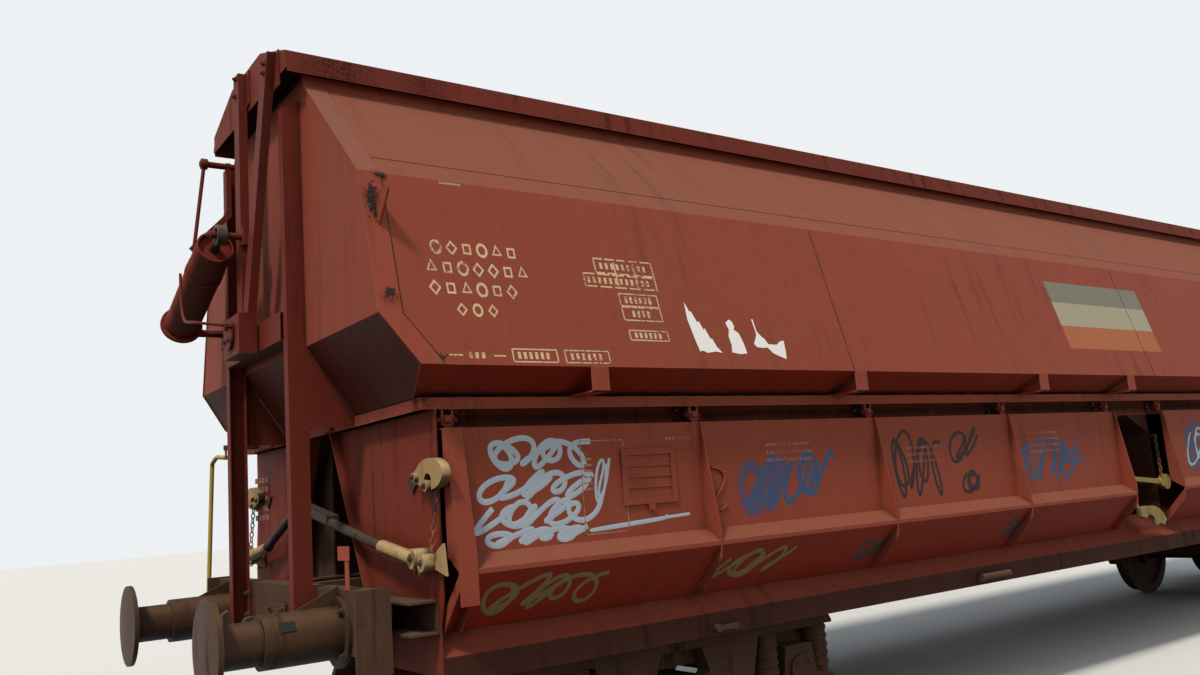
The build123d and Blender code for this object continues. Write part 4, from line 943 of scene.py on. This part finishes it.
class HOPPER_OT_grime(bpy.types.Operator):
    """Dirt on the ledge under the body, moss in the corners and grease on the hinges"""
    bl_idname = "hopper.grime"
    bl_label = "Grime"

    def execute(self, context):
        height = context.scene.hopper_sizes.dirt_height
        bottom = BELT_TOP + RAIL - 0.002
        for name, side in SIDES:
            work = bmesh.new()
            bmesh.ops.create_grid(work, x_segments=620, y_segments=4, size=1.0,
                                  matrix=Matrix.Diagonal((*DIRT_BED, 1, 1)))
            for vertex in work.verts:
                x = vertex.co.x
                across = vertex.co.y / DIRT_BED[1]
                # Heaps of 110 mm, lumps of 25 mm and grains of 8 mm
                rough = noise.noise((x * 9, side * 3.0, 0)) + 0.6 * noise.noise((x * 40, 0, 7))
                grains = 0.35 * noise.noise((x * 130, across * 3, side))
                rise = height * max(0.05, 0.55 + 0.8 * rough + grains) * (1 - across ** 2 * 0.9)
                vertex.co.y = side * (BELLY_FOOT + 0.014 + 0.026 * across * (0.8 + 0.5 * rough))
                vertex.co.z = bottom + rise
            rim = bmesh.ops.extrude_edge_only(work, edges=[edge for edge in work.edges if edge.is_boundary])
            for vertex in (item for item in rim["geom"] if isinstance(item, bmesh.types.BMVert)):
                vertex.co.z = bottom - 0.001
            bmesh.ops.holes_fill(work, edges=[edge for edge in work.edges if edge.is_boundary], sides=0)
            bmesh.ops.recalc_face_normals(work, faces=work.faces)
            smooth(work, 50)
            keep(work, "ledge_dirt_" + name, "caked")
        draw = random.Random(MOSS_SEED)
        moss = bmesh.new()
        for (x, z), (wide, tall), count, largest, out in MOSS:
            for _ in range(count):
                radius = largest * draw.uniform(0.35, 1.0)
                at = (draw.gauss(x, wide / 2), out, draw.gauss(z, tall / 2))
                clump(moss, at, radius, (1.0, 0.6, draw.uniform(0.7, 1.5)))
        lay(moss, "near_side")
        keep(moss, "moss_clumps", "caked")
        # Grease that hangs from the hinges' pins
        drips = bmesh.new()
        for x in HINGES:
            for side in (-1, 1):
                for _ in range(6):
                    radius = draw.uniform(0.006, 0.016)
                    at = (x + draw.choice((-1, 1)) * draw.uniform(0.038, 0.075), side * (1.30 + radius * 0.4),
                          PIN[1] + RAIL + draw.uniform(-0.03, 0.07))
                    clump(drips, at, radius, (1.0, 0.7, draw.uniform(1.0, 1.9)))
        keep(drips, "hinge_grease", "grease")
        return {"FINISHED"}


SIGN_ROWS = (
    # height of the row's middle, sign height, first x, signs
    (2.805, 0.080, -6.33, "ring diamond square ring peak square"),
    (2.700, 0.080, -6.37, "peak square ring diamond diamond square peak"),
    (2.595, 0.080, -6.37, "diamond square peak ring square diamond"),
    (2.490, 0.070, -6.25, "diamond ring diamond"),
)
SIGN_PITCH = 0.082
FRAMES = (
    # from x, to x, from z, to z, line, gaps: the load table in dashes, then the plain frames
    (-5.427, -5.035, 2.735, 2.825, 0.009, 4),
    (-5.513, -5.035, 2.655, 2.735, 0.009, 4),
    (-5.315, -5.055, 2.555, 2.630, 0.007, 0),
    (-5.315, -5.055, 2.475, 2.555, 0.007, 0),
    (-5.305, -5.045, 2.365, 2.425, 0.007, 0),
    (-6.030, -5.775, 2.235, 2.305, 0.007, 0),
    (-5.735, -5.465, 2.235, 2.305, 0.007, 0),
)
LINES = (
    # from x, to x, from z, to z: the load table's columns and two dashes
    (-5.300, -5.291, 2.668, 2.728),
    (-5.300, -5.291, 2.745, 2.805),
    (-5.170, -5.161, 2.668, 2.728),
    (-5.170, -5.161, 2.745, 2.805),
    (-6.360, -6.290, 2.262, 2.269),
    (-6.130, -6.065, 2.262, 2.269),
)
BAR_ROWS = (
    # from x, to x, height of the row's middle, height of a bar
    (-6.26, -6.16, 2.266, 0.030),
    (-6.00, -5.81, 2.270, 0.035),
    (-5.70, -5.50, 2.270, 0.035),
    (-5.28, -5.09, 2.593, 0.038),
    (-5.25, -5.12, 2.515, 0.038),
    (-5.27, -5.08, 2.395, 0.030),
    (-5.39, -5.07, 2.780, 0.035),
    (-5.49, -5.07, 2.695, 0.035),
)
BAR_PITCH = 0.034
BANDS = (
    # finish and name, from z, to z
    ("band_top", 2.81, 2.985),
    ("band_middle", 2.615, 2.81),
    ("band_low", 2.43, 2.615),
)
# Outlines of the film left on the near side, in x and z
SCRAPS = (
    ((-4.873, 2.60), (-4.853, 2.545), (-4.842, 2.55), (-4.818, 2.487), (-4.803, 2.492), (-4.785, 2.44),
     (-4.775, 2.452), (-4.752, 2.39), (-4.742, 2.395), (-4.722, 2.345), (-4.692, 2.312), (-4.74, 2.318),
     (-4.80, 2.309), (-4.835, 2.322), (-4.852, 2.314), (-4.868, 2.40), (-4.882, 2.50)),
    ((-4.575, 2.512), (-4.556, 2.50), (-4.548, 2.47), (-4.56, 2.452), (-4.527, 2.43), (-4.512, 2.37),
     (-4.507, 2.312), (-4.56, 2.306), (-4.618, 2.316), (-4.607, 2.36), (-4.612, 2.41), (-4.595, 2.45),
     (-4.608, 2.49)),
    ((-4.398, 2.52), (-4.388, 2.522), (-4.384, 2.45), (-4.366, 2.425), (-4.338, 2.402), (-4.32, 2.372),
     (-4.255, 2.37), (-4.218, 2.392), (-4.188, 2.398), (-4.196, 2.33), (-4.208, 2.284), (-4.262, 2.302),
     (-4.302, 2.318), (-4.335, 2.352), (-4.372, 2.348), (-4.418, 2.352), (-4.432, 2.372), (-4.41, 2.40),
     (-4.392, 2.43)),
)
FILM_THICK = 0.0012


class HOPPER_OT_side_marks(bpy.types.Operator):
    """Plain painted frames and bars, the striped panel and the torn film on the sides"""
    bl_idname = "hopper.side_marks"
    bl_label = "Side marks"

    def execute(self, context):
        for side, _ in SIDES:
            work = bmesh.new()
            for z, tall, start, kinds in SIGN_ROWS:
                for index, kind in enumerate(kinds.split()):
                    token(work, kind, start + SIGN_PITCH * index, z, tall)
            for row in FRAMES:
                outline_mark(work, *row)
            for line in LINES:
                mark(work, *line)
            for start, stop, z, tall in BAR_ROWS:
                count = round((stop - start) / BAR_PITCH)
                for index in range(count):
                    x = start + index * (stop - start) / count
                    mark(work, x, x + BAR_PITCH / 2, z - tall / 2, z + tall / 2)
            lay(work, side + "_side")
            keep(work, side + "_frames", "stencil")
            for name, low, high in BANDS:
                work = bmesh.new()
                mark(work, -1.09, 0.315, low, high)
                lay(work, side + "_side")
                keep(work, f"{side}_{name}", name)
        stain = bmesh.new()
        mark(stain, -6.25, -6.13, 3.152, 3.164)
        lay(stain, "near_side")
        keep(stain, "shoulder_stain", "faint_stencil")
        work = bmesh.new()
        for scrap in SCRAPS:
            face = work.faces.new([work.verts.new((x, MARK_T, z)) for x, z in scrap])
            grown = bmesh.ops.extrude_face_region(work, geom=[face])
            moved = [item for item in grown["geom"] if isinstance(item, bmesh.types.BMVert)]
            bmesh.ops.translate(work, verts=moved, vec=(0, FILM_THICK, 0))
        lay(work, "near_side")
        keep(work, "torn_film", "film")
        return {"FINISHED"}


LOOPS = (
    # name, plane, body, paint, line width, thickness, tangles of (x0, x1, z0, z1, loops, phase)
    ("pale_loops", "near_flap", "flap_near_a", "mark_pale", 0.028, 0.0008,
     ((-6.21, -5.46, 1.735, 1.900, 6, 0.4), (-6.22, -5.44, 1.590, 1.735, 6, 1.3),
      (-6.22, -5.46, 1.455, 1.600, 7, 2.1), (-6.20, -5.50, 1.390, 1.460, 7, 0.9))),
    ("pale_swoop", "near_flap", "flap_near_a", "mark_pale", 0.016, 0.0008,
     ((-5.42, -4.96, 1.42, 1.47, 1, 2.2), (-5.50, -5.40, 1.54, 1.82, 2, 1.4))),
    ("blue_mist", "near_flap", "flap_near_a", "mist_blue", 0.080, 0.0004,
     ((-4.58, -4.05, 1.42, 1.74, 4, 0.9),)),
    ("blue_loops", "near_flap", "flap_near_a", "mark_blue", 0.034, 0.0008,
     ((-4.58, -4.05, 1.42, 1.74, 4, 0.9), (-4.20, -3.72, 1.46, 1.78, 4, 2.3))),
    ("dark_loops", "near_flap", "flap_near_a", "mark_dark", 0.024, 0.0008,
     ((-3.28, -2.62, 1.40, 1.88, 6, 0.3), (-2.62, -2.20, 1.62, 1.88, 3, 1.2),
      (-2.50, -2.22, 1.42, 1.58, 3, 2.6))),
    ("blue_low", "near_flap", "flap_near_a", "mark_blue", 0.030, 0.0008,
     ((-1.88, -0.98, 1.42, 1.80, 7, 1.6), (-1.30, -0.90, 1.56, 1.68, 2, 0.7))),
    ("olive_loops", "near_shut", "flap_near_a", "mark_olive", 0.022, 0.0008,
     ((-6.26, -5.42, 1.07, 1.25, 6, 0.8), (-4.82, -4.12, 1.07, 1.24, 5, 2.0))),
    ("dark_low", "near_shut", "flap_near_a", "mark_dark", 0.030, 0.0008,
     ((-3.60, -3.20, 1.08, 1.22, 4, 1.0), (-2.10, -1.78, 1.08, 1.22, 4, 0.1))),
    ("blue_far_bay", "near_flap", "flap_near_b", "mark_blue", 0.046, 0.0005,
     ((0.66, 1.36, 1.40, 1.86, 6, 0.5), (2.2, 3.1, 1.46, 1.80, 6, 1.4))),
    ("pale_far_bay", "near_flap", "flap_near_b", "mark_pale", 0.026, 0.0009,
     ((0.70, 1.32, 1.46, 1.82, 4, 2.4),)),
)
TICKS = (
    # from x, to x, height of the first row, rows
    (-4.28, -3.88, 1.80, 3),
    (-3.02, -2.62, 1.74, 3),
    (-1.62, -1.22, 1.80, 4),
    (-5.02, -4.82, 1.858, 1),
)
TICK_PITCH = 0.024
TICK_ROW = 0.045
TICK_SIZE = (0.013, 0.017)


class HOPPER_OT_brush_marks(bpy.types.Operator):
    """Loose aerosol loops and worn ticks on the near flaps"""
    bl_idname = "hopper.brush_marks"
    bl_label = "Brush marks"

    def execute(self, context):
        for name, plane, body, paint, width, thick, tangles in LOOPS:
            work = bmesh.new()
            for entry in tangles:
                join(work, stroke(tangle(*entry), width, thick))
            lay(work, plane)
            keep(work, name, paint, body)
        # Rows of worn ticks where instructions stood, and the hatch beside the pale loops
        work = bmesh.new()
        for x0, x1, top, rows in TICKS:
            for row in range(rows):
                for index in range(int((x1 - x0) / TICK_PITCH)):
                    x = x0 + index * TICK_PITCH
                    z = top - row * TICK_ROW
                    mark(work, x, x + TICK_SIZE[0], z, z + TICK_SIZE[1])
        outline_mark(work, -5.575, -5.30, 1.40, 1.87, 0.006)
        for index in range(6):
            z = 1.62 + 0.03 * index
            mark(work, -5.56, -5.51, z, z + 0.012)
        lay(work, "near_flap")
        keep(work, "worn_ticks", "faint_stencil", "flap_near_a")
        return {"FINISHED"}


# Floor, light and camera

CAMERA_PLACE = (-8.401, -5.573, 1.591 + RAIL)
CAMERA_TURN = math.radians(35.744)
CAMERA_TILT = math.radians(8.968)
CAMERA_ROLL = math.radians(-4.288)
CAMERA_LENS = 29.94
SENSOR_WIDTH = 36.0
FLOOR_SIZE = 60
# The way the daylight falls, read from the shadow of the bracket near the shoulder
SUN_LINE = (0.52, 0.27, -0.81)
# The way to the bright clouds low on the near side
CLOUD_BANK = (-0.15, -0.9, 0.41)


class HOPPER_OT_stage(bpy.types.Operator):
    """Lay the floor, light the wagon softly and set the camera"""
    bl_idname = "hopper.stage"
    bl_label = "Stage"

    def execute(self, context):
        scene = context.scene
        light = scene.hopper_light
        scene.view_settings.view_transform = "Standard"
        # Matt pale floor; the light that it sends on is a meadow's on the near side, dark ballast's elsewhere
        material = bpy.data.materials.new("matt_floor")
        node = open_tree(material)
        spot = node("SeparateXYZ", node("TexCoord").outputs["Object"])
        meadow = node("Ramp", spot.outputs["Y"], -1.6, -3.6)
        bounce = node("Blend", meadow, linear("#201d18"), linear("#857a60"))
        colour = node("Blend", seen_directly(node), bounce, linear("#dcdcd8"))
        node("OutputMaterial", node("BsdfDiffuse", colour))
        work = bmesh.new()
        bmesh.ops.create_grid(work, x_segments=1, y_segments=1, size=FLOOR_SIZE)
        new_mesh(work, "floor", [material])
        # Soft sky, brighter towards the clouds, and pale wherever the camera or a gloss sees it
        scene.world = bpy.data.worlds.new("pale_studio")
        node = open_tree(scene.world)
        toward = node("TexCoord").outputs["Generated"]
        bank = node("Ramp", node("Dot", toward, CLOUD_BANK), -0.35, 0.9)
        sky = node("Blend", bank, linear("#5c5f64"), linear("#ffffff"))
        zenith = node("Ramp", node("SeparateXYZ", toward).outputs["Z"], 0.4, 1.0)
        sky = node("Blend", zenith, sky, linear("#d2dae6"))
        dim = node("Background", sky, light.sky)
        pale = node("Background", linear("#eef1f4"), 1.0)
        node("OutputWorld", node("MixShader", seen_directly(node), dim, pale))
        lamp = bpy.data.lights.new("daylight", "SUN")
        lamp.energy = light.sun
        lamp.angle = light.softness
        lamp.color = linear("#fff6ea")[:3]
        turn = Vector(SUN_LINE).to_track_quat("-Z", "Y").to_matrix().to_4x4()
        new_object("daylight", lamp).matrix_world = Matrix.Translation((-10, -5, 15)) @ turn
        camera = bpy.data.cameras.new("camera")
        camera.sensor_fit = "HORIZONTAL"
        camera.sensor_width = SENSOR_WIDTH
        camera.lens = CAMERA_LENS
        camera.clip_end = 200
        turn = Matrix.Rotation(-CAMERA_TURN, 4, "Z") @ Matrix.Rotation(QUARTER + CAMERA_TILT, 4, "X")
        scene.camera = new_object("camera", camera)
        scene.camera.matrix_world = (Matrix.Translation(CAMERA_PLACE) @ turn
                                     @ Matrix.Rotation(CAMERA_ROLL, 4, "Z"))
        return {"FINISHED"}


# Settings shown in the panel

def colour_setting(label, hex_colour, about):
    """A colour that a user may change."""
    return bpy.props.FloatVectorProperty(name=label, description=about, default=linear(hex_colour)[:3],
                                         subtype="COLOR", size=3, min=0.0, max=1.0)


def length_setting(label, default, low, high, about):
    """A size in metres that a user may change."""
    return bpy.props.FloatProperty(name=label, description=about, default=default, min=low, max=high,
                                   unit="LENGTH")


class HopperPaint(bpy.types.PropertyGroup):
    """Colours of the wagon's finishes"""
    enamel: colour_setting("Enamel", "#86402f", "Red oxide enamel on the body")
    chalked: colour_setting("Chalked enamel", "#7d4b3a", "Enamel where it faces the sky")
    # Soot is also the tone of the painted shade in the enamel's corners and recesses
    soot: colour_setting("Soot", "#2c120d", "Soot and dirt on the enamel")
    rust: colour_setting("Rust", "#3b2017", "Rust that breaks through the enamel")
    underframe: colour_setting("Underframe", "#4a3529", "Dusty steel below the body")
    castings: colour_setting("Castings", "#a58a5f", "Cream paint of the lock castings")
    stencil: colour_setting("Stencil", "#cbb48f", "Stencilled frames and bars")
    band_top: colour_setting("Top band", "#74776b", "Grey band of the panel")
    band_middle: colour_setting("Middle band", "#a09c85", "Cream band of the panel")
    band_low: colour_setting("Low band", "#a3603c", "Brown band of the panel")
    mark_pale: colour_setting("Pale marks", "#a9bccb", "Pale aerosol marks")
    mark_blue: colour_setting("Blue marks", "#2b4f74", "Blue aerosol marks")
    mark_dark: colour_setting("Dark marks", "#1c1a20", "Black aerosol marks")
    mark_olive: colour_setting("Olive marks", "#7d7550", "Faded yellow aerosol marks")


class HopperSizes(bpy.types.PropertyGroup):
    """Sizes of the small fittings"""
    bolt_width: length_setting("Bolt width", 0.026, 0.01, 0.06, "Across the flats of a bolt's head")
    seam_width: length_setting("Seam width", 0.008, 0.002, 0.02, "Width of a weld seam")
    chain_wire: length_setting("Chain wire", 0.009, 0.004, 0.02, "Thickness of a chain's link")
    chain_pitch: length_setting("Chain pitch", 0.030, 0.015, 0.06, "Distance between two links")
    spring_wire: length_setting("Spring wire", 0.026, 0.01, 0.04, "Thickness of a coil spring's wire")
    dirt_height: length_setting("Dirt height", 0.022, 0.0, 0.05, "Height of the dirt on the ledge")


class HopperLight(bpy.types.PropertyGroup):
    """Strength of the studio's light"""
    sky: bpy.props.FloatProperty(name="Sky", description="Strength of the light from all round",
                                 default=0.85, min=0.0, max=2.0)
    sun: bpy.props.FloatProperty(name="Sun", description="Strength of the light from one side",
                                 default=2.6, min=0.0, max=10.0)
    softness: bpy.props.FloatProperty(name="Softness", description="How wide the light from one side is",
                                      default=math.radians(9), min=0.0, max=math.pi, subtype="ANGLE")


STEPS = (HOPPER_OT_finishes, HOPPER_OT_finish_steel, HOPPER_OT_seams, HOPPER_OT_straps, HOPPER_OT_bolts,
         HOPPER_OT_springs, HOPPER_OT_chains, HOPPER_OT_end_fittings, HOPPER_OT_grime, HOPPER_OT_side_marks,
         HOPPER_OT_brush_marks, HOPPER_OT_stage)
SETTINGS = (("hopper_paint", HopperPaint), ("hopper_sizes", HopperSizes), ("hopper_light", HopperLight))


class HOPPER_PT_panel(bpy.types.Panel):
    """The settings and the steps of the finish, in order"""
    bl_label = "Hopper wagon"
    bl_idname = "HOPPER_PT_panel"
    bl_space_type = "VIEW_3D"
    bl_region_type = "UI"
    bl_category = "Hopper wagon"

    def draw(self, context):
        for name, group in SETTINGS:
            column = self.layout.column()
            for entry in group.__annotations__:
                column.prop(getattr(context.scene, name), entry)
        for step in STEPS:
            self.layout.operator(step.bl_idname)


CLASSES = (*(group for _, group in SETTINGS), *STEPS, HOPPER_PT_panel)


def register():
    """Add the settings, the steps and the panel."""
    for item in CLASSES:
        bpy.utils.register_class(item)
    for name, group in SETTINGS:
        setattr(bpy.types.Scene, name, bpy.props.PointerProperty(type=group))


def unregister():
    """Take them away again, in the opposite order."""
    for name, _ in SETTINGS:
        delattr(bpy.types.Scene, name)
    for item in reversed(CLASSES):
        bpy.utils.unregister_class(item)


def main():
    """Run every step."""
    register()
    for step in STEPS:
        group, name = step.bl_idname.split(".")
        getattr(getattr(bpy.ops, group), name)()


if __name__ == "__main__":
    main()
